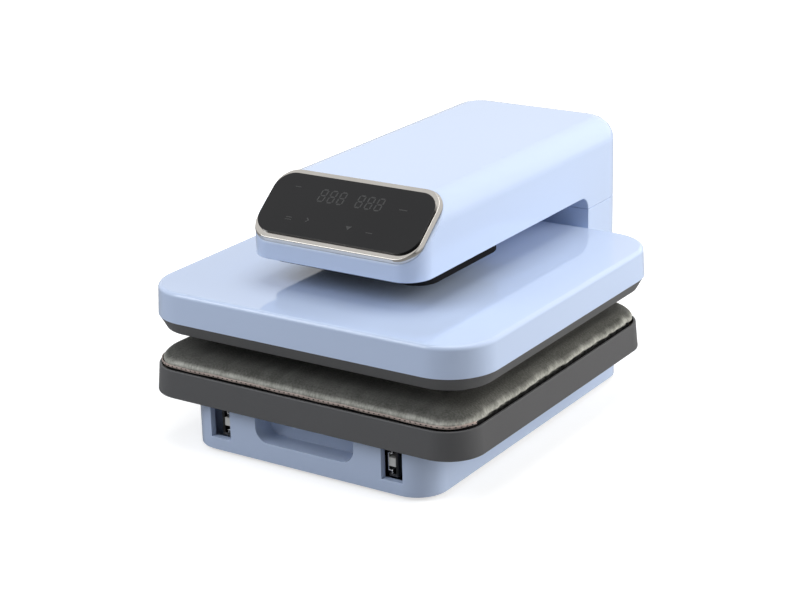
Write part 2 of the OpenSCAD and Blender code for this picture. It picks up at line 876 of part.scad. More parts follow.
module arm_under_plate() {
    z0 = drive_z0 - under_plate_t;
    color(black) difference() {
        translate([0, (under_y0 + under_y1)/2, 0])
            slab(under_plate_w, under_y1 - under_y0, under_r, z0, drive_z0);
        translate([0, press_y, 0]) {
            bar(screw_d + 2*under_hole, z0 - cut, drive_z0 + cut);
            both_sides() translate([rod_span/2, 0, 0]) bar(rod_d + 2*under_hole, z0 - cut, drive_z0 + cut);
        }
    }
}

module bezel() {
    step = bezel_t/3;
    color(steel) on_panel() difference() {
        loaf(bezel_out[0], bezel_out[1], bezel_r, 0, bezel_t)
            polygon([[0, 0], [bezel_r, 0], [bezel_r, step], [bezel_r - bezel_slope, bezel_t], [0, bezel_t]]);
        translate([0, 0, -cut]) linear_extrude(bezel_t + 2*cut) bezel2d(0);
    }
}

// Stands in the bezel's opening and laps over its sides
module control_glass() {
    lap = bezel_w - bezel_slope - bezel_rim;
    color(black) on_panel() {
        translate([0, 0, gap/2]) linear_extrude(bezel_t + glass_rise/2) bezel2d(gap);
        translate([0, 0, bezel_t + gap/2]) linear_extrude(glass_rise - gap/2)
            plate2d(bezel_out[0] - 2*(bezel_w - lap), bezel_out[1] - 2*(bezel_h - gap), bezel_r - bezel_w + lap);
    }
}

module display_board() {
    color(board_green) intersection() {
        arm_form(wall + 2);
        over_panel(-wall - board_t, -wall);
    }
}

module digit_display() {
    digit_w = 38;
    digit_h = 16;
    digit_gap = 3;
    up = 2;
    color(graphite) on_panel() both_sides()
        block([digit_gap, up, -wall], [digit_gap + digit_w, up + digit_h, -gap]);
}

module drive_motor() {
    boss_wall = 6;
    boss_d = shaft_d + 2*boss_wall;
    color(steel) translate([0, motor_y, 0]) difference() {
        union() {
            bar(motor_d, drive_z1, motor_z1);
            bar(boss_d, motor_z1, motor_z1 + boss_h);
        }
        bar(shaft_d + 2*run, motor_z1 - shaft_seat, motor_z1 + boss_h + cut);
    }
}

module motor_shaft() {
    color(steel) translate([0, motor_y, 0]) bar(shaft_d, motor_z1 - shaft_seat + gap, gear_z1 + shaft_end);
}

// Outline of a gear with straight flanks, its first tooth at an angle
module gear2d(teeth, first) {
    r = gear_module*teeth/2;
    tip = r + 0.85*gear_module;
    root = r - 1.25*gear_module;
    step = 360/teeth;
    tip_half = 0.12;
    root_half = 0.33;
    polygon([for (i = [0:teeth - 1],
                  side = [[root, -root_half], [tip, -tip_half], [tip, tip_half], [root, root_half]])
        let (a = first + step*(i + side[1])) side[0]*[cos(a), sin(a)]]);
}

module motor_pinion() {
    color(brass) translate([0, motor_y, gear_z0]) linear_extrude(gear_t) difference() {
        gear2d(pinion_teeth, 90);
        circle(d = shaft_d + 2*run);
    }
}

module screw_gear() {
    color(nylon) translate([0, press_y, gear_z0]) linear_extrude(gear_t) difference() {
        gear2d(gear_teeth, 270 + 180/gear_teeth);
        circle(d = journal_d + 2*run);
    }
}

module lead_screw() {
    color(steel) translate([0, press_y, 0]) {
        bar(screw_d, screw_z0, journal_z);
        bar(journal_d, journal_z, screw_z1);
    }
}

module screw_collar() {
    color(steel) translate([0, press_y, 0]) difference() {
        bar(screw_d + 2*collar_wall, bearing_z1 + gap, bearing_z1 + gap + collar_h);
        bar(screw_d + 2*run, bearing_z1, bearing_z1 + gap + collar_h + cut);
    }
}

module screw_bearing() {
    color(steel) translate([0, press_y, 0]) difference() {
        bar(bearing_d, bearing_z1 - bearing_h, bearing_z1);
        bar(screw_d + 2*run, bearing_z1 - bearing_h - cut, bearing_z1 + cut);
    }
}

module guide_bushes() {
    color(brass) translate([0, press_y, 0]) both_sides() translate([rod_span/2, 0, 0]) difference() {
        union() {
            bar(bush_d, drive_z0, bush_z1);
            bar(bush_d + 2*bush_flange, drive_z1, drive_z1 + bush_flange_t);
        }
        bar(rod_d + 2*run, drive_z0 - cut, bush_z1 + cut);
    }
}

// Section of the cover's wall from the corner centre to its outer face
module cover_profile(inset) {
    r = head_r - inset;
    top = cover_z1 - inset;
    edge = cover_edge_r;
    arc = [for (a = [0:15:90]) [r - edge + edge*cos(a), top - edge + edge*sin(a)]];
    polygon(concat([[0, cover_z0], [r + cover_draft, cover_z0]], arc, [[0, top]]));
}

module head_cover() {
    color(sky) translate([0, press_y, 0]) difference() {
        loaf(head_w, head_d, head_r, cover_z0, cover_z1) cover_profile(0);
        difference() {
            slab(head_w - 2*wall, head_d - 2*wall, head_r - wall, cover_z0 - cut, bracket_z1);
            cover_corner_ring();
        }
        bar(nut_flange_d + 2*fastener_gap, bracket_z1 - cut, cover_z1 + cut);
        both_sides() translate([rod_span/2, 0, 0])
            bar(rod_d + 2*fastener_gap, bracket_z1 - cut, cover_z1 + cut);
        bracket_screw_places() bar(bolt_d + 2*run, bracket_z1 - cut, cover_z1 + cut);
    }
}

// Thickening under the cover's rounded top edge
module cover_corner_ring() {
    depth = cover_edge_r;
    difference() {
        slab(head_w, head_d, head_r, bracket_z1 - depth, bracket_z1 + cut);
        slab(head_w - 2*wall - 2*depth, head_d - 2*wall - 2*depth, head_r - wall - depth,
             bracket_z1 - depth - cut, bracket_z1 + 2*cut);
    }
}

module bracket_screw_places() {
    for (sx = [-1, 1], sy = [-1, 1]) translate([sx*screw_x, sy*screw_y, 0]) children();
}

module spacer_places() {
    for (sx = [-1, 1], sy = [-1, 1]) translate([sx*spacer_x, sy*spacer_y, 0]) children();
}

module head_skirt() {
    foot = head_r + cover_draft - skirt_inset;
    color(graphite) translate([0, press_y, 0]) difference() {
        loaf(head_w, head_d, head_r, skirt_z0, cover_z0)
            polygon([[0, skirt_z0], [foot, skirt_z0], [head_r + cover_draft - gap, cover_z0], [0, cover_z0]]);
        slab(platen_w + 2*platen_gap, platen_d + 2*platen_gap, platen_r + platen_gap,
             skirt_z0 - cut, cover_z0 + cut);
    }
}

module platen() {
    color(alloy) translate([0, press_y, 0]) slab(platen_w, platen_d, platen_r, platen_z0, platen_z1);
}

// Tube bent in four runs, lying on the platen
module heating_element() {
    element_edge = 38;
    r = element_pitch/2;
    bend_x = platen_w/2 - r - element_edge;
    end_x = bend_x + r;
    runs = [[-end_x, bend_x, 1.5], [-bend_x, bend_x, 0.5], [-bend_x, bend_x, -0.5], [-end_x, bend_x, -1.5]];
    color(steel) translate([0, press_y, element_z]) {
        for (line = runs) translate([line[0], line[2]*element_pitch, 0]) rotate([0, 90, 0])
            cylinder(d = element_d, h = line[1] - line[0]);
        for (side = [-1, 1]) translate([bend_x, side*element_pitch, 0]) rotate(-90) element_bend(r);
        translate([-bend_x, 0, 0]) rotate(90) element_bend(r);
    }
}

module element_bend(r) {
    rotate_extrude(angle = 180) translate([r, 0]) circle(d = element_d);
}

module insulation() {
    edge = 6;
    color(nylon) translate([0, press_y, 0]) difference() {
        slab(platen_w - 2*edge, platen_d - 2*edge, platen_r, blanket_z0, blanket_z0 + blanket_t);
        bar(nut_d + 4*fastener_gap, blanket_z0 - cut, blanket_z0 + blanket_t + cut);
        spacer_places() bar(spacer_d + 2*gap, blanket_z0 - cut, blanket_z0 + blanket_t + cut);
    }
}

// Sensors on the platen, one on each side of the press axis
sensor_x = 62;

module thermal_cutout() {
    can_d = 16;
    cap_d = 9;
    can_h = 5;
    color(black) translate([sensor_x, press_y, 0]) {
        bar(can_d, platen_z1, platen_z1 + can_h);
        bar(cap_d, platen_z1 + can_h, blanket_z0 - gap);
    }
}

module temperature_probe() {
    clamp = [28, 10, 4.5];
    lead_d = 2.5;
    color(steel) translate([-sensor_x, press_y, platen_z1]) difference() {
        translate([-clamp[0]/2, -clamp[1]/2, 0]) cube(clamp);
        translate([-clamp[0]/2 - cut, 0, clamp[2]/2]) rotate([0, 90, 0]) cylinder(d = lead_d, h = clamp[0]*0.7);
    }
}

module press_bracket() {
    color(steel) translate([0, press_y, 0]) difference() {
        slab(bracket_w, bracket_d, platen_r, bracket_z0, bracket_z1);
        bar(nut_d + 2*run, bracket_z0 - cut, bracket_z1 + cut);
        both_sides() translate([rod_span/2, 0, 0]) bar(rod_d + 2*run, bracket_z0 - cut, bracket_z1 + cut);
        bracket_screw_places() bar(bolt_d + 2*run, bracket_z0 - cut, bracket_z1 + cut);
    }
}

module platen_spacers() {
    color(steel) translate([0, press_y, 0]) spacer_places() bar(spacer_d, platen_z1, bracket_z0);
}

module screw_nut() {
    color(brass) translate([0, press_y, 0]) difference() {
        union() {
            bar(nut_d, nut_z0, nut_z1);
            bar(nut_flange_d, bracket_z1, nut_z1);
        }
        bar(screw_d + 2*run, nut_z0 - cut, nut_z1 + cut);
    }
}

module guide_rods() {
    color(alloy) translate([0, press_y, 0]) both_sides() translate([rod_span/2, 0, 0])
        bar(rod_d, bracket_z0, rod_z1);
}

module bracket_screws() {
    color(steel) translate([0, press_y, 0]) bracket_screw_places() {
        bar(bolt_head_d, cover_z1, cover_z1 + bolt_head_h);
        bar(bolt_d, bracket_z0, cover_z1);
    }
}

module tray_glides() {
    glide_w = 16;
    glide_l = 60;
    glide_front = 70;
    glide_rear = 50;
    glide_x = window_in/2 - wall - glide_w;
    color(nylon) both_sides() for (y = [base_y0 + glide_front, base_y1 - glide_rear - glide_l])
        block([glide_x - glide_w/2, y, base_top], [glide_x + glide_w/2, y + glide_l, tray_z0 - gap]);
}

module tray() {
    color(graphite) translate([0, tray_y, 0]) difference() {
        loaf(tray_w, tray_d, tray_r, tray_z0, tray_z1)
            polygon([[0, tray_z0], [tray_r + tray_flare, tray_z0], [tray_r, tray_z1], [0, tray_z1]]);
        slab(tray_w - 2*tray_rim, tray_d - 2*tray_rim, tray_r - tray_rim, tray_z0 + tray_floor, tray_z1 + cut);
    }
}

module pad_board() {
    inset = tray_rim + gap;
    color(fibreboard) translate([0, tray_y, 0])
        slab(tray_w - 2*inset, tray_d - 2*inset, tray_r - inset,
             tray_z0 + tray_floor, tray_z0 + tray_floor + pad_board_t);
}

// Pad: rings of points from the bottom, around the rolled edge, up to the crown
pad_half = [tray_w/2 - tray_rim - pad_gap, tray_d/2 - tray_rim - pad_gap];
pad_corner = tray_r - tray_rim - pad_gap;
corner_steps = 6;
side_steps = 6;

// One corner and the side that follows it, counted anticlockwise from the right rear
function pad_quarter(hx, hy, r, draw) = concat(
    [for (i = [0:corner_steps]) let (a = 90*i/corner_steps) [hx - r + r*cos(a), hy - r + r*sin(a)]],
    [for (i = [1:side_steps - 1]) let (s = 1 - 2*i/side_steps) [s*(hx - r), hy - draw*(1 - s*s)]]
);
function quarter_turn(p, q) = q == 0 ? p : quarter_turn([-p[1], p[0]], q - 1);
function pad_ring(inset, z) =
    let (share = 1 - inset/min(pad_half), hx = pad_half[0] - inset, hy = pad_half[1] - inset)
    [for (q = [0:3]) for (p = pad_quarter(q % 2 == 0 ? hx : hy, q % 2 == 0 ? hy : hx,
        pad_corner*share, pad_draw*share)) concat(quarter_turn(p, q), z)];

// Section of the pad: inset from the outline, and height
pad_edge_z = pad_z1 - pad_crown - pad_edge_r;
pad_section = concat(
    [[pad_edge_r/2, pad_z0], [0, min(pad_z0 + pad_edge_r/2, pad_edge_z)]],
    [for (a = [0:22.5:90]) [pad_edge_r*(1 - cos(a)), pad_edge_z + pad_edge_r*sin(a)]],
    [for (s = [0.1, 0.25, 0.5, 0.75])
        [pad_edge_r + s*(min(pad_half) - pad_edge_r), pad_z1 - pad_crown*pow(1 - s, 2)]]
);

module pad() {
    rings = [for (p = pad_section) pad_ring(p[0], p[1])];
    n = len(rings[0]);
    count = len(rings);
    points = concat([for (ring = rings) each ring], [[0, 0, pad_z0], [0, 0, pad_z1]]);
    sides = [for (k = [0:count - 2], i = [0:n - 1]) let (j = (i + 1) % n)
        each [[k*n + i, (k + 1)*n + i, k*n + j], [k*n + j, (k + 1)*n + i, (k + 1)*n + j]]];
    bottom = [for (i = [0:n - 1]) [count*n, i, (i + 1) % n]];
    top = [for (i = [0:n - 1]) [count*n + 1, (count - 1)*n + (i + 1) % n, (count - 1)*n + i]];
    color(felt) translate([0, tray_y, 0]) polyhedron(points, concat(sides, bottom, top));
}

// Angle under the tray that carries a slide's inner member
module tray_bracket() {
    y0 = slide_y0 + bracket_inset;
    y1 = slide_y0 + slide_l - bracket_inset;
    x1 = inner_x0;
    x0 = x1 - tray_bracket_t;
    block([x0, y0, slide_z - inner_h/2], [x1, y1, tray_z0]);
    block([x1, y0, tray_z0 - tray_bracket_t], [window_in/2 + window_w - tray_bracket_t, y1, tray_z0]);
}

module tray_bracket_left() {
    color(steel) mirror([1, 0, 0]) tray_bracket();
}

module tray_bracket_right() {
    color(steel) tray_bracket();
}

// A member of a slide, its section drawn across the press
module slide_member() {
    translate([0, slide_y0 + slide_l, slide_z]) rotate([90, 0, 0]) linear_extrude(slide_l) children();
}

// Channel section with lips, open towards the middle of the press
module channel2d(x1, depth, h, lip) {
    difference() {
        translate([x1 - depth, -h/2]) square([depth, h]);
        translate([x1 - depth + slide_t, -h/2 + slide_t]) square([depth - 2*slide_t, h - 2*slide_t]);
        translate([x1 - depth - cut, -h/2 + slide_t + lip])
            square([2*slide_t + cut, h - 2*slide_t - 2*lip]);
    }
}

// Hat section whose brim is held in the middle member
module hat2d() {
    brim = (inner_top - inner_h)/2 + slide_t;
    translate([inner_x0, -inner_h/2]) square([slide_t, inner_h]);
    for (side = [-1, 1]) {
        translate([inner_x0, side*(inner_h/2 - slide_t/2) - slide_t/2]) square([inner_x1 - inner_x0, slide_t]);
        translate([inner_x1 - slide_t, side*(inner_top - brim)/2 - brim/2]) square([slide_t, brim]);
    }
}

module slide_outer_left() {
    color(alloy) mirror([1, 0, 0]) slide_member() channel2d(slide_x, slide_depth, slide_h, lip_out);
}

module slide_outer_right() {
    color(alloy) slide_member() channel2d(slide_x, slide_depth, slide_h, lip_out);
}

module slide_middle_left() {
    color(alloy) mirror([1, 0, 0]) slide_member() channel2d(middle_x, middle_depth, middle_h, lip_mid);
}

module slide_middle_right() {
    color(alloy) slide_member() channel2d(middle_x, middle_depth, middle_h, lip_mid);
}

module slide_inner_left() {
    color(alloy) mirror([1, 0, 0]) slide_member() hat2d();
}

module slide_inner_right() {
    color(alloy) slide_member() hat2d();
}

module slide_blocks() {
    half_h = 5;
    length = 12;
    color(nylon) both_sides()
        block([inner_x0 + slide_t, slide_y0, slide_z - half_h],
              [middle_x - slide_t - gap, slide_y0 + length, slide_z + half_h]);
}

base_shell();
base_plate();
rubber_feet();
foot_screws();
spine_left();
spine_right();
spine_ties();
drive_plate();
column_shell();
rear_cover();
rear_cover_screws();
mains_inlet();
inlet_pins();
switch_housing();
switch_rocker();
fuse_holder();
power_board();
power_parts();
arm_shell();
arm_under_plate();
bezel();
control_glass();
display_board();
digit_display();
drive_motor();
motor_shaft();
motor_pinion();
lead_screw();
screw_gear();
screw_collar();
screw_bearing();
guide_bushes();
head_cover();
head_skirt();
platen();
heating_element();
insulation();
thermal_cutout();
temperature_probe();
press_bracket();
platen_spacers();
screw_nut();
guide_rods();
bracket_screws();
tray_glides();
tray();
pad_board();
pad();
tray_bracket_left();
tray_bracket_right();
slide_outer_left();
slide_outer_right();
slide_middle_left();
slide_middle_right();
slide_inner_left();
slide_inner_right();
slide_blocks();
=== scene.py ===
import math

import bmesh
import bpy
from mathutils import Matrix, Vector, noise
from mathutils.bvhtree import BVHTree


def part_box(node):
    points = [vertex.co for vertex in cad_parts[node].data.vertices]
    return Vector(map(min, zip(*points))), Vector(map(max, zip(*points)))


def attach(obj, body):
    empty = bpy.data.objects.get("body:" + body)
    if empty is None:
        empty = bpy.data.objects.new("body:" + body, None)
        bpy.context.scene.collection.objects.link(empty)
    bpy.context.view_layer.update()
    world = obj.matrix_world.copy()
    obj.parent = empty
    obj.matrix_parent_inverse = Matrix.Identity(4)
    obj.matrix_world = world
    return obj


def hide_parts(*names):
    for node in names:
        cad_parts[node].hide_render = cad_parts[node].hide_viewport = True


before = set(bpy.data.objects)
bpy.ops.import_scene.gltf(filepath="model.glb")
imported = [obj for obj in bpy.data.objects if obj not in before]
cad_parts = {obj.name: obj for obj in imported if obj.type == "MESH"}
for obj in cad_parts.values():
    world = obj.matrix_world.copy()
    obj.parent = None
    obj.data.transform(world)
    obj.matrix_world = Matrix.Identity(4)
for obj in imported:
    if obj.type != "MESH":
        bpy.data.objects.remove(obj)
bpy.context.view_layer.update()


# Base: one glossy injection moulding in pale blue, open below, with a finger recess and two
# slide windows in its front. It stands on a pressed steel floor plate and is screwed to it.
def glossy_shell(name, colour, shade, rough, peel):
    material = bpy.data.materials.new(name)
    material.use_nodes = True
    tree = material.node_tree
    shader = tree.nodes["Principled BSDF"]
    place = tree.nodes.new("ShaderNodeTexCoord")
    cloud = tree.nodes.new("ShaderNodeTexNoise")
    cloud.inputs["Scale"].default_value = 9.0
    cloud.inputs["Detail"].default_value = 4.0
    tint = tree.nodes.new("ShaderNodeMix")
    tint.data_type = "RGBA"
    tint.inputs["A"].default_value = (*colour, 1)
    tint.inputs["B"].default_value = (*shade, 1)
    gloss = tree.nodes.new("ShaderNodeMapRange")
    gloss.inputs["To Min"].default_value = rough * 0.8
    gloss.inputs["To Max"].default_value = rough * 1.2
    ripple = tree.nodes.new("ShaderNodeTexNoise")
    ripple.inputs["Scale"].default_value = 420.0
    ripple.inputs["Detail"].default_value = 2.0
    bump = tree.nodes.new("ShaderNodeBump")
    bump.inputs["Strength"].default_value = peel
    bump.inputs["Distance"].default_value = 0.0002
    tree.links.new(place.outputs["Object"], cloud.inputs["Vector"])
    tree.links.new(place.outputs["Object"], ripple.inputs["Vector"])
    tree.links.new(cloud.outputs["Fac"], tint.inputs["Factor"])
    tree.links.new(cloud.outputs["Fac"], gloss.inputs["Value"])
    tree.links.new(tint.outputs["Result"], shader.inputs["Base Color"])
    tree.links.new(gloss.outputs["Result"], shader.inputs["Roughness"])
    tree.links.new(ripple.outputs["Fac"], bump.inputs["Height"])
    tree.links.new(bump.outputs["Normal"], shader.inputs["Normal"])
    shader.inputs["IOR"].default_value = 1.5
    return material


weld = 0.000002


def eased(node, body, material, radius, segments=3):
    """A joined copy of a CAD node whose sharp edges have a small radius."""
    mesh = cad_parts[node].data.copy()
    work = bmesh.new()
    work.from_mesh(mesh)
    bmesh.ops.remove_doubles(work, verts=work.verts, dist=weld)
    flat = math.radians(0.4)
    bmesh.ops.dissolve_limit(work, angle_limit=flat, verts=work.verts, edges=work.edges)
    work.to_mesh(mesh)
    work.free()
    piece = bpy.data.objects.new(node + "_piece", mesh)
    bpy.context.scene.collection.objects.link(piece)
    edge = piece.modifiers.new("edge", "BEVEL")
    edge.width = radius
    edge.segments = segments
    edge.limit_method = "ANGLE"
    edge.angle_limit = math.radians(32)
    even = piece.modifiers.new("even", "WEIGHTED_NORMAL")
    even.keep_sharp = True
    even.weight = 60
    mesh.polygons.foreach_set("use_smooth", [True] * len(mesh.polygons))
    graph = bpy.context.evaluated_depsgraph_get()
    piece.data = bpy.data.meshes.new_from_object(piece.evaluated_get(graph))
    piece.modifiers.clear()
    piece.data.materials.clear()
    piece.data.materials.append(material)
    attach(piece, body)
    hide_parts(node)


shell_blue = glossy_shell("shell_blue", (0.55, 0.652, 0.86), (0.54, 0.642, 0.85), 0.06, 0.02)
eased("base_shell", "frame", shell_blue, 0.0008)


def bare_metal(name, colour, rough, grain):
    material = bpy.data.materials.new(name)
    material.use_nodes = True
    tree = material.node_tree
    shader = tree.nodes["Principled BSDF"]
    place = tree.nodes.new("ShaderNodeTexCoord")
    stretch = tree.nodes.new("ShaderNodeMapping")
    stretch.inputs["Scale"].default_value = grain
    streak = tree.nodes.new("ShaderNodeTexNoise")
    streak.inputs["Scale"].default_value = 60.0
    streak.inputs["Detail"].default_value = 3.0
    gloss = tree.nodes.new("ShaderNodeMapRange")
    gloss.inputs["To Min"].default_value = rough * 0.7
    gloss.inputs["To Max"].default_value = rough * 1.35
    tint = tree.nodes.new("ShaderNodeMix")
    tint.data_type = "RGBA"
    tint.inputs["A"].default_value = (*colour, 1)
    tint.inputs["B"].default_value = (*[c * 0.86 for c in colour], 1)
    bump = tree.nodes.new("ShaderNodeBump")
    bump.inputs["Strength"].default_value = 0.08
    bump.inputs["Distance"].default_value = 0.0001
    tree.links.new(place.outputs["Object"], stretch.inputs["Vector"])
    tree.links.new(stretch.outputs["Vector"], streak.inputs["Vector"])
    tree.links.new(streak.outputs["Fac"], gloss.inputs["Value"])
    tree.links.new(streak.outputs["Fac"], tint.inputs["Factor"])
    tree.links.new(streak.outputs["Fac"], bump.inputs["Height"])
    tree.links.new(gloss.outputs["Result"], shader.inputs["Roughness"])
    tree.links.new(tint.outputs["Result"], shader.inputs["Base Color"])
    tree.links.new(bump.outputs["Normal"], shader.inputs["Normal"])
    shader.inputs["Metallic"].default_value = 1.0
    return material


def finished(node, material):
    """A CAD node that keeps its shape and gets its finish."""
    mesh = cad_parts[node].data
    mesh.materials.clear()
    mesh.materials.append(material)


sheet_steel = bare_metal("sheet_steel", (0.55, 0.56, 0.58), 0.38, (1, 14, 1))
eased("base_plate", "frame", sheet_steel, 0.0003, 2)


# Feet: four turned discs of black rubber under the floor plate, each held by a pan-head screw sunk in
# its middle.
def moulded(name, colour, shade, rough, grain_scale, grain):
    material = bpy.data.materials.new(name)
    material.use_nodes = True
    tree = material.node_tree
    shader = tree.nodes["Principled BSDF"]
    place = tree.nodes.new("ShaderNodeTexCoord")
    cloud = tree.nodes.new("ShaderNodeTexNoise")
    cloud.inputs["Scale"].default_value = 14.0
    cloud.inputs["Detail"].default_value = 5.0
    tint = tree.nodes.new("ShaderNodeMix")
    tint.data_type = "RGBA"
    tint.inputs["A"].default_value = (*colour, 1)
    tint.inputs["B"].default_value = (*shade, 1)
    spark = tree.nodes.new("ShaderNodeTexNoise")
    spark.inputs["Scale"].default_value = grain_scale
    spark.inputs["Detail"].default_value = 3.0
    gloss = tree.nodes.new("ShaderNodeMapRange")
    gloss.inputs["To Min"].default_value = rough * 0.85
    gloss.inputs["To Max"].default_value = min(1.0, rough * 1.15)
    bump = tree.nodes.new("ShaderNodeBump")
    bump.inputs["Strength"].default_value = grain
    bump.inputs["Distance"].default_value = 0.0003
    tree.links.new(place.outputs["Object"], cloud.inputs["Vector"])
    tree.links.new(place.outputs["Object"], spark.inputs["Vector"])
    tree.links.new(cloud.outputs["Fac"], tint.inputs["Factor"])
    tree.links.new(spark.outputs["Fac"], gloss.inputs["Value"])
    tree.links.new(spark.outputs["Fac"], bump.inputs["Height"])
    tree.links.new(tint.outputs["Result"], shader.inputs["Base Color"])
    tree.links.new(gloss.outputs["Result"], shader.inputs["Roughness"])
    tree.links.new(bump.outputs["Normal"], shader.inputs["Normal"])
    return material


foot_rubber = moulded("foot_rubber", (0.03, 0.03, 0.031), (0.04, 0.04, 0.04), 0.75, 900, 0.25)
eased("rubber_feet", "frame", foot_rubber, 0.0006)
bright_screw = bare_metal("bright_screw", (0.62, 0.62, 0.63), 0.3, (1, 1, 6))
finished("foot_screws", bright_screw)


def repeated(name, path, shape, material, pitch=0.0):
    """Copies of a small shape on the points of a mesh, or evenly along its edges, as one plain mesh."""
    tree = bpy.data.node_groups.new(name, "GeometryNodeTree")
    face = tree.interface
    face.new_socket("Path", in_out="INPUT", socket_type="NodeSocketGeometry")
    shape_in = face.new_socket("Shape", in_out="INPUT", socket_type="NodeSocketObject")
    pitch_in = face.new_socket("Pitch", in_out="INPUT", socket_type="NodeSocketFloat")
    finish_in = face.new_socket("Finish", in_out="INPUT", socket_type="NodeSocketMaterial")
    face.new_socket("Copies", in_out="OUTPUT", socket_type="NodeSocketGeometry")
    start = tree.nodes.new("NodeGroupInput")
    end = tree.nodes.new("NodeGroupOutput")
    model = tree.nodes.new("GeometryNodeObjectInfo")
    place = tree.nodes.new("GeometryNodeInstanceOnPoints")
    solid = tree.nodes.new("GeometryNodeRealizeInstances")
    paint = tree.nodes.new("GeometryNodeSetMaterial")
    tree.links.new(start.outputs["Shape"], model.inputs["Object"])
    tree.links.new(model.outputs["Geometry"], place.inputs["Instance"])
    if pitch:
        line = tree.nodes.new("GeometryNodeMeshToCurve")
        spread = tree.nodes.new("GeometryNodeResampleCurve")
        spread.mode = "LENGTH"
        along = tree.nodes.new("GeometryNodeInputTangent")
        turn = tree.nodes.new("FunctionNodeAlignRotationToVector")
        turn.axis = "X"
        tree.links.new(start.outputs["Path"], line.inputs["Mesh"])
        tree.links.new(line.outputs["Curve"], spread.inputs["Curve"])
        tree.links.new(start.outputs["Pitch"], spread.inputs["Length"])
        tree.links.new(spread.outputs["Curve"], place.inputs["Points"])
        tree.links.new(along.outputs["Tangent"], turn.inputs["Vector"])
        tree.links.new(turn.outputs["Rotation"], place.inputs["Rotation"])
    else:
        tree.links.new(start.outputs["Path"], place.inputs["Points"])
    tree.links.new(place.outputs["Instances"], solid.inputs["Geometry"])
    tree.links.new(solid.outputs["Geometry"], paint.inputs["Geometry"])
    tree.links.new(start.outputs["Finish"], paint.inputs["Material"])
    tree.links.new(paint.outputs["Geometry"], end.inputs["Copies"])
    holder = bpy.data.objects.new(name, path)
    bpy.context.scene.collection.objects.link(holder)
    step = holder.modifiers.new("copies", "NODES")
    step.node_group = tree
    step[shape_in.identifier] = shape
    step[pitch_in.identifier] = pitch
    step[finish_in.identifier] = material
    graph = bpy.context.evaluated_depsgraph_get()
    holder.data = bpy.data.meshes.new_from_object(holder.evaluated_get(graph))
    holder.modifiers.clear()
    bpy.data.objects.remove(shape)
    return holder


def solid_piece(name, points, faces, smooth=True):
    """A plain mesh object with its normals outwards."""
    same_place = 0.0000001
    mesh = bpy.data.meshes.new(name)
    mesh.from_pydata([tuple(p) for p in points], [], faces)
    work = bmesh.new()
    work.from_mesh(mesh)
    bmesh.ops.remove_doubles(work, verts=work.verts, dist=same_place)
    bmesh.ops.recalc_face_normals(work, faces=work.faces)
    work.to_mesh(mesh)
    work.free()
    mesh.polygons.foreach_set("use_smooth", [smooth] * len(mesh.polygons))
    piece = bpy.data.objects.new(name, mesh)
    bpy.context.scene.collection.objects.link(piece)
    return piece


def cross_head(name, across, height, turned):
    """Pan head with a cross recess, its axis along turned."""
    profile = ((0.5, 0.0), (0.5, 0.45), (0.46, 0.72), (0.36, 0.92), (0.3, 1.0))
    arm, half, deep, steps = 0.30, 0.065, 0.45, 32
    points, faces = [], []
    for reach, rise in profile:
        for i in range(steps):
            a = 2 * math.pi * i / steps
            points.append((reach * across * math.cos(a), reach * across * math.sin(a), rise * height))
    for ring in range(len(profile) - 1):
        for i in range(steps):
            j = (i + 1) % steps
            low = ring * steps
            faces.append((low + i, low + j, low + steps + j, low + steps + i))
    cross = [(half, half), (half, arm), (-half, arm), (-half, half), (-arm, half), (-arm, -half),
             (-half, -half), (-half, -arm), (half, -arm), (half, -half), (arm, -half), (arm, half)]
    rim = len(points) - steps
    top = len(points)
    for level in (1.0, 1.0 - deep):
        points += [(x * across, y * across, level * height) for x, y in cross]
    count = len(cross)
    for i in range(count):
        j = (i + 1) % count
        faces.append((top + j, top + i, top + count + i, top + count + j))
    faces.append(tuple(range(top + count, top + 2 * count)))
    work = bmesh.new()
    verts = [work.verts.new(p) for p in points]
    for face in faces:
        work.faces.new([verts[i] for i in face])
    loops = [[], []]
    for i in range(steps):
        loops[0].append(work.edges.get((verts[rim + i], verts[rim + (i + 1) % steps])))
    for i in range(count):
        loops[1].append(work.edges.get((verts[top + i], verts[top + (i + 1) % count])))
    bmesh.ops.triangle_fill(work, edges=loops[0] + loops[1], use_beauty=True, use_dissolve=False)
    work.faces.new(list(reversed(verts[:steps])))
    bmesh.ops.recalc_face_normals(work, faces=work.faces)
    work.transform(Vector((0, 0, 1)).rotation_difference(Vector(turned)).to_matrix().to_4x4())
    mesh = bpy.data.meshes.new(name)
    work.to_mesh(mesh)
    work.free()
    piece = bpy.data.objects.new(name, mesh)
    bpy.context.scene.collection.objects.link(piece)
    return piece


def islands(node):
    """Lowest and highest corner of each separate solid of a CAD node."""
    work = bmesh.new()
    work.from_mesh(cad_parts[node].data)
    bmesh.ops.remove_doubles(work, verts=work.verts, dist=weld)
    left = set(work.verts)
    boxes = []
    while left:
        stack = [left.pop()]
        low, high = stack[0].co.copy(), stack[0].co.copy()
        while stack:
            vert = stack.pop()
            for k in range(3):
                low[k] = min(low[k], vert.co[k])
                high[k] = max(high[k], vert.co[k])
            for line in vert.link_edges:
                other = line.other_vert(vert)
                if other in left:
                    left.remove(other)
                    stack.append(other)
        boxes.append((low, high))
    work.free()
    return boxes


def head_screws(node, body, across, height, axis):
    """Cross-recess heads in the place of a CAD node's screws."""
    way = Vector(axis)
    points = bpy.data.meshes.new(node)
    seats = []
    for low, high in islands(node):
        seat = (low + high) / 2
        k = max(range(3), key=lambda n: abs(way[n]))
        seat[k] = (high[k] if way[k] > 0 else low[k]) - way[k] * height
        seats.append(seat)
    points.from_pydata(seats, [], [])
    heads = repeated(node + "_heads", points, cross_head("head", across, height, axis), bright_screw)
    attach(heads, body)
    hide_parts(node)


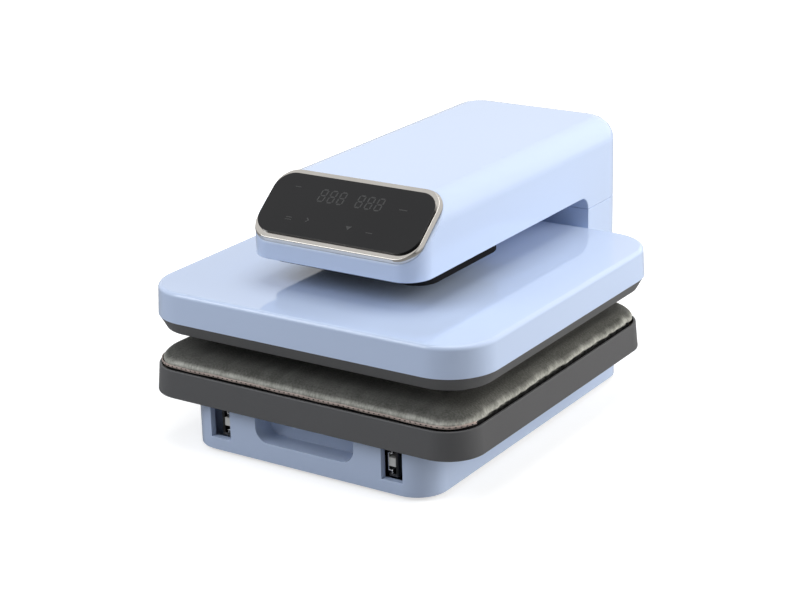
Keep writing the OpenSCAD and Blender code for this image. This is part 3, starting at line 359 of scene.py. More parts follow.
# Spine: two C plates cut from 5 mm steel, held apart by round tie bars; they carry the press force
# from the arm to the floor plate behind the mouldings.
for node in ("spine_left", "spine_right", "spine_ties", "drive_plate"):
    finished(node, sheet_steel)

# Column: a moulded tube that stands on the base and carries the arm, closed at the rear by a flat
# cover with air slots.
eased("column_shell", "frame", shell_blue, 0.0005)
eased("rear_cover", "frame", shell_blue, 0.0004, 2)
head_screws("rear_cover_screws", "frame", 0.006, 0.0016, (0, 1, 0))

# Rear fittings: a three-pin inlet, a rocker switch and a fuse holder, each moulded in black plastic and
# snapped into the rear cover. Two white marks are printed on the rocker.
fitting_black = moulded("fitting_black", (0.018, 0.018, 0.019), (0.024, 0.024, 0.024), 0.42, 1200, 0.12)
for node, body in (("mains_inlet", "frame"), ("switch_housing", "frame"), ("fuse_holder", "frame"),
                   ("switch_rocker", "rocker")):
    eased(node, body, fitting_black, 0.0003, 2)
finished("inlet_pins", bright_screw)

rocker_low, rocker_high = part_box("switch_rocker")
rocker_middle = (rocker_low + rocker_high) / 2
rocker_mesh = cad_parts["switch_rocker"].data
rocker_face = BVHTree.FromPolygons([vert.co for vert in rocker_mesh.vertices],
                                   [list(face.vertices) for face in rocker_mesh.polygons])
mark_paint = moulded("mark_paint", (0.75, 0.75, 0.74), (0.7, 0.7, 0.69), 0.5, 800, 0.05)
mark_low, mark_top = 0.00002, 0.00014
ray_start = rocker_high.y + 0.005


def rocker_mark(name, outline, hole, up):
    """A thin print laid on one half of the rocker's face."""
    points, faces = [], []
    rings = [outline] + ([hole] if hole else [])
    for depth in (mark_low, mark_top):
        for ring in rings:
            for x, z in ring:
                before = Vector((rocker_middle.x + x, ray_start, rocker_middle.z + up + z))
                hit = rocker_face.ray_cast(before, Vector((0, -1, 0)))[0]
                points.append(hit + Vector((0, depth, 0)))
    n = len(outline)
    layer = n * len(rings)
    for i in range(n):
        j = (i + 1) % n
        faces.append((i, j, layer + j, layer + i))
        if hole:
            faces.append((n + i, n + j, layer + n + j, layer + n + i))
            faces.append((layer + i, layer + j, layer + n + j, layer + n + i))
            faces.append((i, j, n + j, n + i))
    if not hole:
        faces += [tuple(range(layer, 2 * layer)), tuple(range(n))]
    piece = solid_piece(name, points, faces, smooth=False)
    piece.data.materials.append(mark_paint)
    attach(piece, "rocker")


mark_up = 0.0062
bar_w, bar_h = 0.001, 0.004
ring_out, ring_in, ring_steps = 0.0021, 0.0013, 28


def circle(radius):
    turns = [2 * math.pi * i / ring_steps for i in range(ring_steps)]
    return [(radius * math.cos(a), radius * math.sin(a)) for a in turns]


bar_mark = [(-bar_w / 2, -bar_h / 2), (bar_w / 2, -bar_h / 2), (bar_w / 2, bar_h / 2),
            (-bar_w / 2, bar_h / 2)]
rocker_mark("rocker_bar", bar_mark, None, mark_up)
rocker_mark("rocker_ring", circle(ring_out), circle(ring_in), -mark_up)

# Power board: a green lacquered board across the spine with transformer, relay, capacitors and a
# finned heat sink on it.
lacquer = moulded("board_lacquer", (0.02, 0.11, 0.05), (0.03, 0.13, 0.06), 0.35, 700, 0.1)
board_part = moulded("board_part", (0.05, 0.05, 0.055), (0.07, 0.07, 0.075), 0.5, 500, 0.15)
finished("power_board", lacquer)
finished("power_parts", board_part)

# Arm: the upper half of the housing, moulded with the top of the column and cut to a slope at the
# front for the panel; a black plate closes it below.
eased("arm_shell", "frame", shell_blue, 0.0012, 4)
plate_black = moulded("plate_black", (0.012, 0.012, 0.013), (0.016, 0.016, 0.017), 0.6, 900, 0.1)
plate_black.node_tree.nodes["Principled BSDF"].inputs["Specular IOR Level"].default_value = 0.0
eased("arm_under_plate", "frame", plate_black, 0.0008)

# Control panel: a plated ring and a flat black glass that stands in it and laps over its sides, with the
# number display behind it.
slope = math.radians(39)
up_slope = Vector((0, math.cos(slope), math.sin(slope)))
off_slope = Vector((0, -math.sin(slope), math.cos(slope)))
glass_low, glass_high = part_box("control_glass")
panel_middle = (glass_low + glass_high) / 2
glass_face = max((vert.co - panel_middle).dot(off_slope)
                 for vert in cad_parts["control_glass"].data.vertices)
print_low, print_top = 0.00002, 0.00012
bezel_nickel = bare_metal("bezel_nickel", (0.58, 0.555, 0.52), 0.08, (1, 1, 1))
eased("bezel", "frame", bezel_nickel, 0.0004, 3)


def dark_glass(name):
    material = bpy.data.materials.new(name)
    material.use_nodes = True
    tree = material.node_tree
    shader = tree.nodes["Principled BSDF"]
    place = tree.nodes.new("ShaderNodeTexCoord")
    smear = tree.nodes.new("ShaderNodeTexNoise")
    smear.inputs["Scale"].default_value = 22.0
    smear.inputs["Detail"].default_value = 5.0
    gloss = tree.nodes.new("ShaderNodeMapRange")
    gloss.inputs["To Min"].default_value = 0.05
    gloss.inputs["To Max"].default_value = 0.12
    tint = tree.nodes.new("ShaderNodeMix")
    tint.data_type = "RGBA"
    tint.inputs["A"].default_value = (0.007, 0.007, 0.008, 1)
    tint.inputs["B"].default_value = (0.010, 0.010, 0.011, 1)
    tree.links.new(place.outputs["Object"], smear.inputs["Vector"])
    tree.links.new(smear.outputs["Fac"], gloss.inputs["Value"])
    tree.links.new(smear.outputs["Fac"], tint.inputs["Factor"])
    tree.links.new(gloss.outputs["Result"], shader.inputs["Roughness"])
    tree.links.new(tint.outputs["Result"], shader.inputs["Base Color"])
    shader.inputs["Specular IOR Level"].default_value = 0.3
    return material


panel_glass = dark_glass("panel_glass")
eased("control_glass", "frame", panel_glass, 0.0005)
finished("display_board", lacquer)
finished("digit_display", board_part)


def panel_prints(name, shapes, material):
    """Thin printed shapes on the glass, each an outline across and up the slope from its middle."""
    points, faces = [], []
    for outline in shapes:
        first = len(points)
        n = len(outline)
        for depth in (glass_face + print_low, glass_face + print_top):
            for across, up in outline:
                points.append(panel_middle + Vector((across, 0, 0)) + up_slope * up + off_slope * depth)
        faces += [tuple(range(first + n, first + 2 * n)), tuple(reversed(range(first, first + n)))]
        faces += [(first + i, first + (i + 1) % n, first + n + (i + 1) % n, first + n + i)
                  for i in range(n)]
    piece = solid_piece(name, points, faces, smooth=False)
    piece.data.materials.append(material)
    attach(piece, "frame")


lamp_thick, lamp_gap = 0.0009, 0.0008


def lamp_bar(middle, length, lying, lean):
    """One segment of a digit, pointed at both ends."""
    half, thick = length / 2, lamp_thick
    outline = [(-half, 0), (-half + thick, thick), (half - thick, thick), (half, 0),
               (half - thick, -thick), (-half + thick, -thick)]
    turned = outline if lying else [(-v, u) for u, v in outline]
    return [(middle[0] + u + lean * (middle[1] + v), middle[1] + v) for u, v in turned]


digit_w, digit_h, digit_pitch, digit_lean = 0.0070, 0.0152, 0.0122, 0.1
digit_up, group_starts, group_digits = 0.0152, (-0.0357, 0.0122), 3
bars = ((0, 0.5, 1), (0, 0, 1), (0, -0.5, 1), (-0.5, 0.25, 0), (0.5, 0.25, 0), (-0.5, -0.25, 0),
        (0.5, -0.25, 0))
digits = []
for first in group_starts:
    for place in range(group_digits):
        for across, up, lying in bars:
            length = (digit_w if lying else digit_h / 2) - lamp_gap
            outline = lamp_bar((across * digit_w, up * digit_h), length, lying, digit_lean)
            digits.append([(u + first + place * digit_pitch, v + digit_up) for u, v in outline])
unlit = moulded("unlit_segment", (0.023, 0.023, 0.024), (0.020, 0.020, 0.021), 0.3, 900, 0.02)
panel_prints("digit_segments", digits, unlit)


def strip(across, up, wide, high):
    return [(across - wide / 2, up - high / 2), (across + wide / 2, up - high / 2),
            (across + wide / 2, up + high / 2), (across - wide / 2, up + high / 2)]


key_marks = [strip(-0.063, -0.0175, 0.0075, 0.0009), strip(-0.063, -0.0205, 0.0075, 0.0009),
             [(-0.040, -0.0205), (-0.0365, -0.0175), (-0.040, -0.0145), (-0.041, -0.0155),
              (-0.0385, -0.0175), (-0.041, -0.0195)],
             [(0.010, -0.0165), (0.018, -0.0165), (0.014, -0.0215)],
             strip(0.041, -0.0205, 0.0085, 0.001), strip(0.067, 0.0135, 0.010, 0.0013),
             strip(-0.071, 0.0215, 0.0075, 0.001)]
panel_prints("key_marks", key_marks, unlit)

# Drive: a round gear motor on the drive plate turns the lead screw through a brass pinion and a
# nylon gear; two bronze bushes guide the rods.
turned_steel = bare_metal("turned_steel", (0.60, 0.61, 0.62), 0.25, (1, 1, 20))
turned_brass = bare_metal("turned_brass", (0.72, 0.52, 0.22), 0.28, (1, 1, 20))
nylon = moulded("nylon", (0.78, 0.77, 0.73), (0.74, 0.73, 0.69), 0.5, 600, 0.06)
for node in ("drive_motor", "motor_shaft", "screw_collar", "screw_bearing", "guide_rods"):
    finished(node, turned_steel)
for node in ("motor_pinion", "guide_bushes", "screw_nut"):
    finished(node, turned_brass)
finished("screw_gear", nylon)

# Lead screw: a rolled steel bar with a two-start trapezoidal thread, turned down at the top for the
# gear; it hangs in the bearing of the drive plate.
screw_low, screw_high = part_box("lead_screw")
screw_axis = (screw_low + screw_high) / 2
bearing_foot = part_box("screw_bearing")[0].z
screw_r, journal_r, journal_down = 0.008, 0.006, 0.012
journal_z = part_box("screw_gear")[0].z - journal_down
thread_pitch, thread_depth, thread_starts = 0.004, 0.0016, 2
root_share, flank_share = 0.14, 0.12
row_h, turned_step = 0.0005, 0.0002
thread_h = bearing_foot - screw_low.z
around, rows = 48, int(thread_h / row_h)


def clamped(value):
    """A value held between 0 and 1."""
    return min(max(value, 0.0), 1.0)


def thread_radius(turn, height):
    share = (height / thread_pitch - thread_starts * turn) % 1.0
    flank = clamped((abs(share - 0.5) - root_share) / flank_share)
    return screw_r - thread_depth * (1.0 - flank)


rings = []
for row in range(rows + 1):
    height = thread_h * row / rows
    rings.append([(thread_radius(i / around, height), height) for i in range(around)])
for reach, height in ((screw_r, thread_h + row_h), (screw_r, journal_z - screw_low.z),
                      (journal_r, journal_z - screw_low.z + turned_step),
                      (journal_r, screw_high.z - screw_low.z - row_h),
                      (journal_r - row_h, screw_high.z - screw_low.z)):
    rings.append([(reach, height)] * around)
screw_points = [(screw_axis.x + reach * math.cos(2 * math.pi * i / around),
                 screw_axis.y + reach * math.sin(2 * math.pi * i / around), screw_low.z + height)
                for ring in rings for i, (reach, height) in enumerate(ring)]
screw_faces = [(k * around + i, k * around + (i + 1) % around, (k + 1) * around + (i + 1) % around,
                (k + 1) * around + i) for k in range(len(rings) - 1) for i in range(around)]
screw_faces += [tuple(range(around)), tuple(range((len(rings) - 1) * around, len(rings) * around))]
screw_piece = solid_piece("lead_screw_piece", screw_points, screw_faces)
screw_piece.data.materials.append(turned_steel)
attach(screw_piece, "screw")
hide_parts("lead_screw")

# Head: a square pale-blue cover over a graphite skirt; the cast platen hangs inside on spacers from
# a steel bracket, with the element and a fibre blanket on it.
eased("head_cover", "head", shell_blue, 0.0006)
graphite = moulded("graphite", (0.085, 0.085, 0.088), (0.095, 0.095, 0.098), 0.5, 1500, 0.3)
skirt_graphite = moulded("skirt_graphite", (0.12, 0.12, 0.123), (0.13, 0.13, 0.133), 0.5, 1500, 0.3)
eased("head_skirt", "head", skirt_graphite, 0.0007)
coated = moulded("platen_coating", (0.05, 0.05, 0.052), (0.06, 0.06, 0.062), 0.35, 500, 0.15)
eased("platen", "head", coated, 0.0008)
for node in ("heating_element", "temperature_probe", "press_bracket", "platen_spacers"):
    finished(node, sheet_steel)
head_screws("bracket_screws", "head", 0.008, 0.0022, (0, 0, 1))
finished("thermal_cutout", fitting_black)
finished("insulation", nylon)

# Tray: a graphite moulding with a thin rim around the pad and its fibreboard; it slides over the base
# on nylon glides.
eased("tray", "tray", graphite, 0.0009)
fibreboard = moulded("fibreboard", (0.30, 0.20, 0.11), (0.26, 0.17, 0.09), 0.8, 250, 0.3)
finished("pad_board", fibreboard)
eased("tray_glides", "frame", nylon, 0.0005, 2)

# Pad: a foam block in a brushed felt cover drawn tight over its edge and gathered at the sides. Its
# front edge is bound with a woven tape, sewn on by machine with a dark thread.
def felted(name, colour, shade, nap, top_shade=1.0):
    """Brushed felt with painted shade: darker by a factor where flat_lying is 1, the head's shadow on the
    top, and black where turned_under is 1, the shade under the edge.
    """
    material = bpy.data.materials.new(name)
    material.use_nodes = True
    tree = material.node_tree
    shader = tree.nodes["Principled BSDF"]
    place = tree.nodes.new("ShaderNodeTexCoord")
    stroke = tree.nodes.new("ShaderNodeMapping")
    stroke.inputs["Rotation"].default_value = (0, 0, 0.6)
    stroke.inputs["Scale"].default_value = (1, 0.22, 1)
    cloud = tree.nodes.new("ShaderNodeTexNoise")
    cloud.inputs["Scale"].default_value = 70.0
    cloud.inputs["Detail"].default_value = 6.0
    hang = tree.nodes.new("ShaderNodeMapping")
    hang.inputs["Scale"].default_value = (1, 1, 0.1)
    fleck = tree.nodes.new("ShaderNodeTexNoise")
    fleck.inputs["Scale"].default_value = 480.0
    fleck.inputs["Detail"].default_value = 4.0
    both = tree.nodes.new("ShaderNodeMath")
    both.operation = "MULTIPLY_ADD"
    both.inputs[1].default_value = 0.8
    contrast = tree.nodes.new("ShaderNodeMapRange")
    contrast.inputs["From Min"].default_value = 0.7
    contrast.inputs["From Max"].default_value = 1.1
    tint = tree.nodes.new("ShaderNodeMix")
    tint.data_type = "RGBA"
    tint.inputs["A"].default_value = (*shade, 1)
    tint.inputs["B"].default_value = (*colour, 1)
    # Painted shade: the pad's top, where flat_lying is 1, is multiplied darker as the head's shadow on it.
    lying = tree.nodes.new("ShaderNodeAttribute")
    lying.attribute_name = "flat_lying"
    top_shaded = tree.nodes.new("ShaderNodeMix")
    top_shaded.data_type = "RGBA"
    top_shaded.blend_type = "MULTIPLY"
    top_shaded.inputs["B"].default_value = (top_shade, top_shade, top_shade, 1)
    bump = tree.nodes.new("ShaderNodeBump")
    bump.inputs["Strength"].default_value = nap
    bump.inputs["Distance"].default_value = 0.0008
    tree.links.new(place.outputs["Object"], stroke.inputs["Vector"])
    tree.links.new(stroke.outputs["Vector"], cloud.inputs["Vector"])
    tree.links.new(place.outputs["Object"], hang.inputs["Vector"])
    tree.links.new(hang.outputs["Vector"], fleck.inputs["Vector"])
    tree.links.new(cloud.outputs["Fac"], both.inputs[0])
    tree.links.new(fleck.outputs["Fac"], both.inputs[2])
    tree.links.new(both.outputs["Value"], contrast.inputs["Value"])
    tree.links.new(contrast.outputs["Result"], tint.inputs["Factor"])
    tree.links.new(lying.outputs["Fac"], top_shaded.inputs["Factor"])
    tree.links.new(tint.outputs["Result"], top_shaded.inputs["A"])
    # Painted shade: black where turned_under is 1, for the shade in the gap under the pad's edge.
    below = tree.nodes.new("ShaderNodeAttribute")
    below.attribute_name = "turned_under"
    shaded = tree.nodes.new("ShaderNodeMix")
    shaded.data_type = "RGBA"
    shaded.inputs["B"].default_value = (0.008, 0.008, 0.008, 1)
    tree.links.new(below.outputs["Fac"], shaded.inputs["Factor"])
    tree.links.new(top_shaded.outputs["Result"], shaded.inputs["A"])
    tree.links.new(shaded.outputs["Result"], shader.inputs["Base Color"])
    tree.links.new(both.outputs["Value"], bump.inputs["Height"])
    tree.links.new(bump.outputs["Normal"], shader.inputs["Normal"])
    shader.inputs["Roughness"].default_value = 0.95
    shader.inputs["Specular IOR Level"].default_value = 0.2
    shader.inputs["Sheen Weight"].default_value = 0.04
    shader.inputs["Sheen Roughness"].default_value = 0.5
    return material


# The last value darkens the felt's top to 0.21 of its colour as painted shade under the head.
felt = felted("felt", (0.60, 0.595, 0.54), (0.36, 0.36, 0.32), 0.9, 0.21)
pad_low, pad_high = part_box("pad")
pad_middle = (pad_low + pad_high) / 2
rim_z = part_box("tray")[1].z
pad_half = [(pad_high[k] - pad_low[k]) / 2 for k in range(2)]
pad_corner = 0.0355
tape_low, tape_high, tape_t = rim_z + 0.0022, rim_z + 0.0052, 0.0009
tape_turn = 0.15


def pad_edge(co):
    """How far a point lies outside the pad's plan outline, the way out, and whether tape binds it there."""
    x, y = co.x - pad_middle.x, co.y - pad_middle.y
    over = [abs(x) - pad_half[0] + pad_corner, abs(y) - pad_half[1] + pad_corner]
    if min(over) > 0:
        far = math.hypot(*over)
        out = Vector((over[0] / far, over[1] / far, 0))
        off = far - pad_corner
    else:
        out = Vector((1, 0, 0)) if over[0] > over[1] else Vector((0, 1, 0))
        off = max(over) - pad_corner
    out = Vector((math.copysign(out.x, x), math.copysign(out.y, y), 0))
    return off, out, y < 0 and over[1] > pad_corner * math.sin(tape_turn)


def relax(work, verts):
    bmesh.ops.smooth_vert(work, verts=verts, factor=0.5, use_axis_x=True, use_axis_y=True, use_axis_z=True)


drawn_in, pressed = 0.992, 0.88
hem_h, still_h = 0.008, 0.009
last_frame, relaxings = 20, 14
most_move, top_room, least_rise = 0.007, 0.0002, 0.0001


def pad_cover():
    """The pad's cover: cloth over a smaller block, blown out to the pad's size and eased."""
    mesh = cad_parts["pad"].data.copy()
    for vert in mesh.vertices:
        vert.co.x = pad_middle.x + (vert.co.x - pad_middle.x) * drawn_in
        vert.co.y = pad_middle.y + (vert.co.y - pad_middle.y) * drawn_in
        vert.co.z = pad_low.z + (vert.co.z - pad_low.z) * pressed
    piece = bpy.data.objects.new("pad_cover", mesh)
    bpy.context.scene.collection.objects.link(piece)
    net = piece.modifiers.new("net", "REMESH")
    net.mode = "VOXEL"
    net.voxel_size = 0.0045
    graph = bpy.context.evaluated_depsgraph_get()
    piece.data = bpy.data.meshes.new_from_object(piece.evaluated_get(graph))
    piece.modifiers.clear()
    start = [vert.co.copy() for vert in piece.data.vertices]
    hem = piece.vertex_groups.new(name="hem")
    hem.add([i for i, co in enumerate(start) if co.z < pad_low.z + hem_h], 1.0, "REPLACE")
    cloth = piece.modifiers.new("cover", "CLOTH")
    cloth.settings.quality = 6
    cloth.settings.mass = 0.2
    cloth.settings.tension_stiffness = 12
    cloth.settings.compression_stiffness = 12
    cloth.settings.shear_stiffness = 6
    cloth.settings.bending_stiffness = 0.4
    cloth.settings.use_pressure = True
    cloth.settings.uniform_pressure_force = 4
    cloth.settings.vertex_group_mass = "hem"
    cloth.settings.effector_weights.gravity = 0
    cloth.point_cache.frame_start = 1
    cloth.point_cache.frame_end = last_frame
    scene = bpy.context.scene
    for step in range(1, last_frame + 1):
        scene.frame_set(step)
    graph = bpy.context.evaluated_depsgraph_get()
    puffed = [vert.co.copy() for vert in piece.evaluated_get(graph).data.vertices]
    scene.frame_set(1)
    piece.modifiers.clear()
    room = pad_high.z - top_room
    for vert, was, now in zip(piece.data.vertices, start, puffed):
        move = now - was
        if move.length > most_move:
            move = move * (most_move / move.length)
        if was.z > rim_z:
            rise = max(room - was.z, least_rise)
            move.z = rise * (1 - math.exp(-max(move.z, 0.0) / rise))
        vert.co = was + move
    work = bmesh.new()
    work.from_mesh(piece.data)
    loose = [vert for vert in work.verts if vert.co.z > pad_low.z + still_h]
    for _ in range(relaxings):
        relax(work, loose)
    work.to_mesh(piece.data)
    work.free()
    return piece


pad_piece = pad_cover()
smooth = pad_piece.modifiers.new("smooth", "SUBSURF")
smooth.levels = smooth.render_levels = 1
graph = bpy.context.evaluated_depsgraph_get()
pad_piece.data = bpy.data.meshes.new_from_object(pad_piece.evaluated_get(graph))
pad_piece.modifiers.clear()
pad_piece.vertex_groups.clear()

edge_drop, edge_round, lip_h = 0.0012, 0.0055, 0.002
shoulder_in, shoulder_out, shoulder_up = -0.014, -0.011, 0.006
tuck_in, bound, swell = -0.0024, 0.0008, 0.0022
edge_top = pad_high.z - edge_drop
shoulder = [vert.co.z for vert in pad_piece.data.vertices
            if shoulder_in < pad_edge(vert.co)[0] < shoulder_out and vert.co.z > rim_z + shoulder_up]
slack = edge_top - sum(shoulder) / len(shoulder)


def cover_edge(z, hem_z, taped):
    """How far the cover stands out from the pad's plan outline at a height."""
    foot = tape_high if taped else hem_z
    inner = bound if taped and z > tape_low else tuck_in
    lip = clamped((z - foot) / lip_h)
    out = inner + (swell - inner) * math.sqrt(1 - (1 - lip) ** 2)
    up = clamped((z - edge_top) / edge_round + 1)
    return out - edge_round * (1 - math.sqrt(1 - up * up))


rise_start, rise_run = 0.06, 0.045
gather_scale, fine_gather, fine_scale = 95, 0.6, 2.3
taped_loose, free_loose, pucker_low = 0.0008, 0.0024, 0.35
hem_up, hem_wave = 0.0022, 0.0012
# turned_under marks the felt below the tape and the hem, which is painted black as the shade under the
# pad's edge.
tape_under, hem_under, under_fade = 0.0008, 0.0006, 0.0012
hold_start, hold_run, foot_h = 0.016, 0.010, 0.003
turned_under = []
for vert in pad_piece.data.vertices:
    co = vert.co
    off, out, taped = pad_edge(co)
    near = clamped((off + rise_start) / rise_run)
    height = max((co.z - rim_z) / (edge_top - slack - rim_z), 0.0)
    co.z = min(co.z + slack * near * near * (3 - 2 * near) * height, pad_high.z)
    rim_point = (co - out * off) * gather_scale
    gather = noise.noise(Vector((rim_point.x, rim_point.y, 0.3)))
    gather += fine_gather * noise.noise(Vector((rim_point.x * fine_scale, rim_point.y * fine_scale, 4.1)))
    loose = taped_loose if taped else free_loose
    hem_z = rim_z + hem_up + hem_wave * gather
    under = tape_low + tape_under if taped else hem_z + hem_under
    turned_under.append(clamped((under - co.z) / under_fade))
    if off < -hold_start or co.z < pad_low.z + foot_h:
        continue
    height = clamped((co.z - rim_z) / (edge_top - rim_z))
    pucker = loose * gather * math.sin(math.pi * min(pucker_low + (1 - pucker_low) * height, 1.0))
    hold = clamped((off + hold_start) / hold_run)
    co += out * (cover_edge(co.z, hem_z, taped) + pucker - off) * hold
    co.z = min(co.z, pad_high.z)
work = bmesh.new()
work.from_mesh(pad_piece.data)
side_reach = 0.02
relax(work, [vert for vert in work.verts if vert.co.z > tape_high and pad_edge(vert.co)[0] > -side_reach])
work.to_mesh(pad_piece.data)
work.free()
# flat_lying marks the pad's top, which the felt paints darker as shade under the head.
steep, levelling = 0.4, 0.35
lying = pad_piece.data.attributes.new("flat_lying", "FLOAT", "POINT")
lying.data.foreach_set("value", [clamped((vert.normal.z - steep) / levelling)
                                 for vert in pad_piece.data.vertices])
# Painted shade mask: the felt is painted black where this is 1.
below = pad_piece.data.attributes.new("turned_under", "FLOAT", "POINT")
below.data.foreach_set("value", turned_under)
pad_piece.data.polygons.foreach_set("use_smooth", [True] * len(pad_piece.data.polygons))
pad_piece.data.materials.clear()
pad_piece.data.materials.append(felt)
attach(pad_piece, "tray")
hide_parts("pad")

bend_steps, run_steps = 14, 60


def hem_path(grow):
    """Points along the pad's front edge, from corner to corner."""
    part = []
    for i in range(bend_steps + 1):
        a = tape_turn + (math.pi / 2 - tape_turn) * i / bend_steps
        part.append((pad_half[0] - pad_corner + (pad_corner + grow) * math.cos(a),
                     pad_half[1] - pad_corner + (pad_corner + grow) * math.sin(a)))
    run = pad_half[0] - pad_corner
    straight = [(run * (1 - 2 * i / run_steps), pad_half[1] + grow) for i in range(1, run_steps)]
    points = part + straight + [(-x, y) for x, y in reversed(part)]
    return [(pad_middle.x + x, pad_middle.y - y) for x, y in points]


tape_bevel, wide_sway, fine_sway = 0.0004, 0.0003, 0.0002
tape_points, tape_faces = [], []
tape_path = list(zip(hem_path(bound), hem_path(bound + tape_t)))
for i, (inner, outer) in enumerate(tape_path):
    sway = wide_sway * math.sin(i * 0.61) + fine_sway * math.sin(i * 0.23 + 1.0)
    tape_points += [(*inner, tape_low + sway), (*outer, tape_low + sway),
                    (*outer, tape_high + sway - tape_bevel),
                    ((inner[0] + outer[0]) / 2, (inner[1] + outer[1]) / 2, tape_high + sway),
                    (*inner, tape_high + sway - tape_bevel)]
tape_sides = len(tape_points) // len(tape_path)
for i in range(len(tape_path) - 1):
    low, high = i * tape_sides, (i + 1) * tape_sides
    for k in range(tape_sides):
        m = (k + 1) % tape_sides
        tape_faces.append((low + k, high + k, high + m, low + m))
last = len(tape_points) - tape_sides
tape_faces += [tuple(range(tape_sides)), tuple(range(last, last + tape_sides))]
tape = solid_piece("pad_tape", tape_points, tape_faces)
tape_weave = felted("tape_weave", (0.52, 0.43, 0.385), (0.42, 0.34, 0.305), 0.3)
tape.data.materials.append(tape_weave)
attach(tape, "tray")

thread_path = bpy.data.meshes.new("thread_path")
thread_points = [(x, y, (tape_low + tape_high) / 2) for x, y in hem_path(bound + tape_t)]
thread_path.from_pydata(thread_points, [(i, i + 1) for i in range(len(thread_points) - 1)], [])
stitch_l, stitch_r, stitch_pitch, stitch_sides = 0.0024, 0.0006, 0.0062, 6
stitch_profile = ((-stitch_l / 2, 0.4), (-stitch_l / 4, 1.0), (stitch_l / 4, 1.0), (stitch_l / 2, 0.4))
stitch_turns = [math.pi / 3 * i for i in range(stitch_sides)]
stitch_points = [(x, r * stitch_r * math.cos(a), r * stitch_r * math.sin(a))
                 for x, r in stitch_profile for a in stitch_turns]
stitch_faces = []
for k in range(len(stitch_profile) - 1):
    low, high = k * stitch_sides, (k + 1) * stitch_sides
    for i in range(stitch_sides):
        j = (i + 1) % stitch_sides
        stitch_faces.append((low + i, low + j, high + j, high + i))
last = len(stitch_points) - stitch_sides
stitch_faces += [tuple(range(stitch_sides)), tuple(range(last, last + stitch_sides))]
thread = moulded("thread", (0.03, 0.028, 0.027), (0.04, 0.036, 0.034), 0.8, 2000, 0.2)
stitch = solid_piece("stitch", stitch_points, stitch_faces)
stitches = repeated("pad_stitches", thread_path, stitch, thread, stitch_pitch)
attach(stitches, "tray")

# Slides: three nested zinc-plated sheet profiles on each side; the outer two are coloured near black as
# painted shade of the dark space behind the windows, and the inner shows bright zinc, with a white nylon
# stop at the front.
zinc = bare_metal("zinc", (0.72, 0.73, 0.75), 0.22, (1, 8, 1))
# Painted shade: near-black zinc colour for the outer and middle slides in the dark space behind the
# windows.
painted_shade_zinc = bare_metal("painted_shade_zinc", (0.07, 0.07, 0.073), 0.3, (1, 8, 1))
for side in ("left", "right"):
    eased("slide_outer_" + side, "frame", painted_shade_zinc, 0.0003, 2)
    eased("slide_middle_" + side, "slide_middles", painted_shade_zinc, 0.0003, 2)
    eased("slide_inner_" + side, "tray", zinc, 0.0003, 2)
    eased("tray_bracket_" + side, "tray", sheet_steel, 0.0003, 2)
eased("slide_blocks", "tray", nylon, 0.0006, 2)

# Floor and surround: white to the eye, with the object's soft shadow on the floor. The side from which
# the picture is taken is darker in reflections, as a room behind a camera is.
bpy.ops.mesh.primitive_plane_add(size=14, location=(0, 0, 0))
floor = bpy.context.object
floor.name = "studio_floor"
floor_paint = bpy.data.materials.new("studio_floor")
floor_paint.use_nodes = True
tree = floor_paint.node_tree
tree.nodes.remove(tree.nodes["Principled BSDF"])
seen = tree.nodes.new("ShaderNodeLightPath")
pale = tree.nodes.new("ShaderNodeBsdfDiffuse")
pale.inputs["Color"].default_value = (0.6, 0.6, 0.6, 1)
glow = tree.nodes.new("ShaderNodeEmission")
ground = tree.nodes.new("ShaderNodeTexCoord")
away = tree.nodes.new("ShaderNodeVectorMath")
away.operation = "LENGTH"
fade = tree.nodes.new("ShaderNodeMapRange")
fade.interpolation_type = "SMOOTHSTEP"
fade.inputs["From Min"].default_value = 0.25
fade.inputs["From Max"].default_value = 0.75
fade.inputs["To Min"].default_value = 0.62
fade.inputs["To Max"].default_value = 1.0
tree.links.new(ground.outputs["Object"], away.inputs[0])
tree.links.new(away.outputs["Value"], fade.inputs["Value"])
tree.links.new(fade.outputs["Result"], glow.inputs["Strength"])
bright = tree.nodes.new("ShaderNodeAddShader")
dull = tree.nodes.new("ShaderNodeBsdfDiffuse")
dull.inputs["Color"].default_value = (0.34, 0.34, 0.34, 1)
choice = tree.nodes.new("ShaderNodeMixShader")
tree.links.new(pale.outputs["BSDF"], bright.inputs[0])
tree.links.new(glow.outputs["Emission"], bright.inputs[1])
tree.links.new(seen.outputs["Is Camera Ray"], choice.inputs["Fac"])
tree.links.new(dull.outputs["BSDF"], choice.inputs[1])
tree.links.new(bright.outputs["Shader"], choice.inputs[2])
tree.links.new(choice.outputs["Shader"], tree.nodes["Material Output"].inputs["Surface"])
floor.data.materials.append(floor_paint)

world = bpy.data.worlds.new("studio")
bpy.context.scene.world = world
world.use_nodes = True
tree = world.node_tree
soft = tree.nodes["Background"]
soft.inputs["Strength"].default_value = 0.36
seen = tree.nodes.new("ShaderNodeLightPath")
clear = tree.nodes.new("ShaderNodeBackground")
way = tree.nodes.new("ShaderNodeTexCoord")
towards = tree.nodes.new("ShaderNodeVectorMath")
towards.operation = "DOT_PRODUCT"
camera_side = (0.52, -0.80, 0.30)
towards.inputs[1].default_value = camera_side
room = tree.nodes.new("ShaderNodeMapRange")
room.interpolation_type = "SMOOTHSTEP"
room.inputs["From Min"].default_value = 0.55
room.inputs["From Max"].default_value = 0.95
room.inputs["To Min"].default_value = 0.95
room.inputs["To Max"].default_value = 0.12
mirrored = tree.nodes.new("ShaderNodeBackground")
to_mirror = tree.nodes.new("ShaderNodeMixShader")
to_eye = tree.nodes.new("ShaderNodeMixShader")
tree.links.new(way.outputs["Generated"], towards.inputs[0])
tree.links.new(towards.outputs["Value"], room.inputs["Value"])
tree.links.new(room.outputs["Result"], mirrored.inputs["Strength"])
soft.inputs["Color"].default_value = (0.96, 0.985, 1.02, 1)
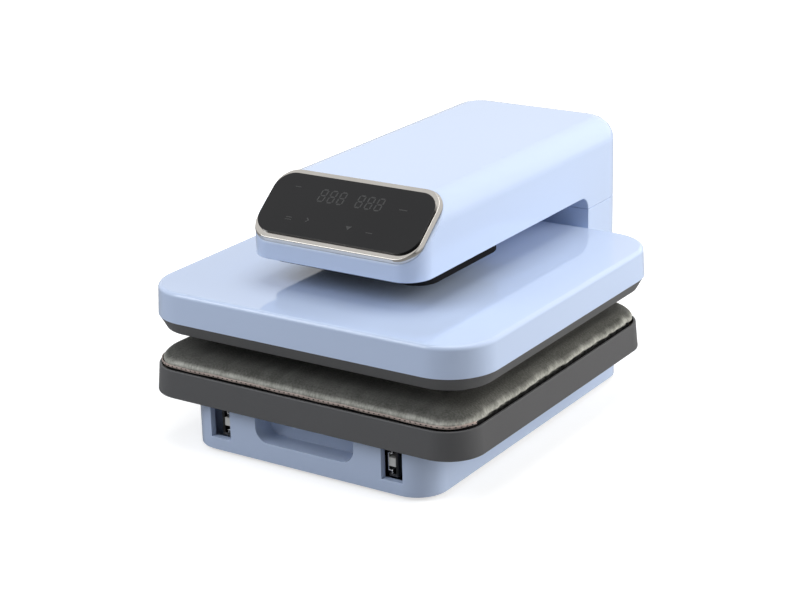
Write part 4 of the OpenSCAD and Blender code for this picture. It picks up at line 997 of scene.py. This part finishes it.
for paint in (clear, mirrored):
    paint.inputs["Color"].default_value = (1, 1, 1, 1)
tree.links.new(seen.outputs["Is Glossy Ray"], to_mirror.inputs["Fac"])
tree.links.new(soft.outputs["Background"], to_mirror.inputs[1])
tree.links.new(mirrored.outputs["Background"], to_mirror.inputs[2])
tree.links.new(seen.outputs["Is Camera Ray"], to_eye.inputs["Fac"])
tree.links.new(to_mirror.outputs["Shader"], to_eye.inputs[1])
tree.links.new(clear.outputs["Background"], to_eye.inputs[2])
tree.links.new(to_eye.outputs["Shader"], tree.nodes["World Output"].inputs["Surface"])

lamp_aim = Vector((0, 0, 0.15))
warm, cool = (1.0, 0.985, 0.95), (0.96, 0.99, 1.03)


def softbox(name, place, width, height, power, tint, mirrored):
    lamp = bpy.data.lights.new(name, "AREA")
    lamp.shape = "RECTANGLE"
    lamp.size = width
    lamp.size_y = height
    lamp.energy = power
    lamp.color = tint
    holder = bpy.data.objects.new(name, lamp)
    bpy.context.scene.collection.objects.link(holder)
    holder.location = place
    holder.rotation_euler = (lamp_aim - Vector(place)).to_track_quat("-Z", "Y").to_euler()
    holder.visible_glossy = mirrored


softbox("right_box", (2.1, 1.6, 1.0), width=2.6, height=1.9, power=82, tint=warm, mirrored=False)
softbox("left_box", (-1.3, -1.7, 1.75), width=1.5, height=1.5, power=28, tint=cool, mirrored=True)
softbox("top_box", (0.1, 0.0, 2.5), width=1.6, height=1.6, power=23, tint=warm, mirrored=True)

# Camera: it stands where the photograph was taken, to the right of the press's front and above it,
# with a lens of about 89 mm on a 36 mm frame.
lens = bpy.data.cameras.new("camera")
lens.sensor_fit = "HORIZONTAL"
lens.sensor_width = 36
lens.lens = 88.797
lens.clip_end = 50
camera = bpy.data.objects.new("camera", lens)
bpy.context.scene.collection.objects.link(camera)
camera.location = (1.14855, -1.78601, 0.86846)
camera.rotation_euler = [math.radians(a) for a in (70.5529, 1.4553, 33.1853)]
bpy.context.scene.camera = camera
bpy.context.scene.view_settings.view_transform = "Standard"
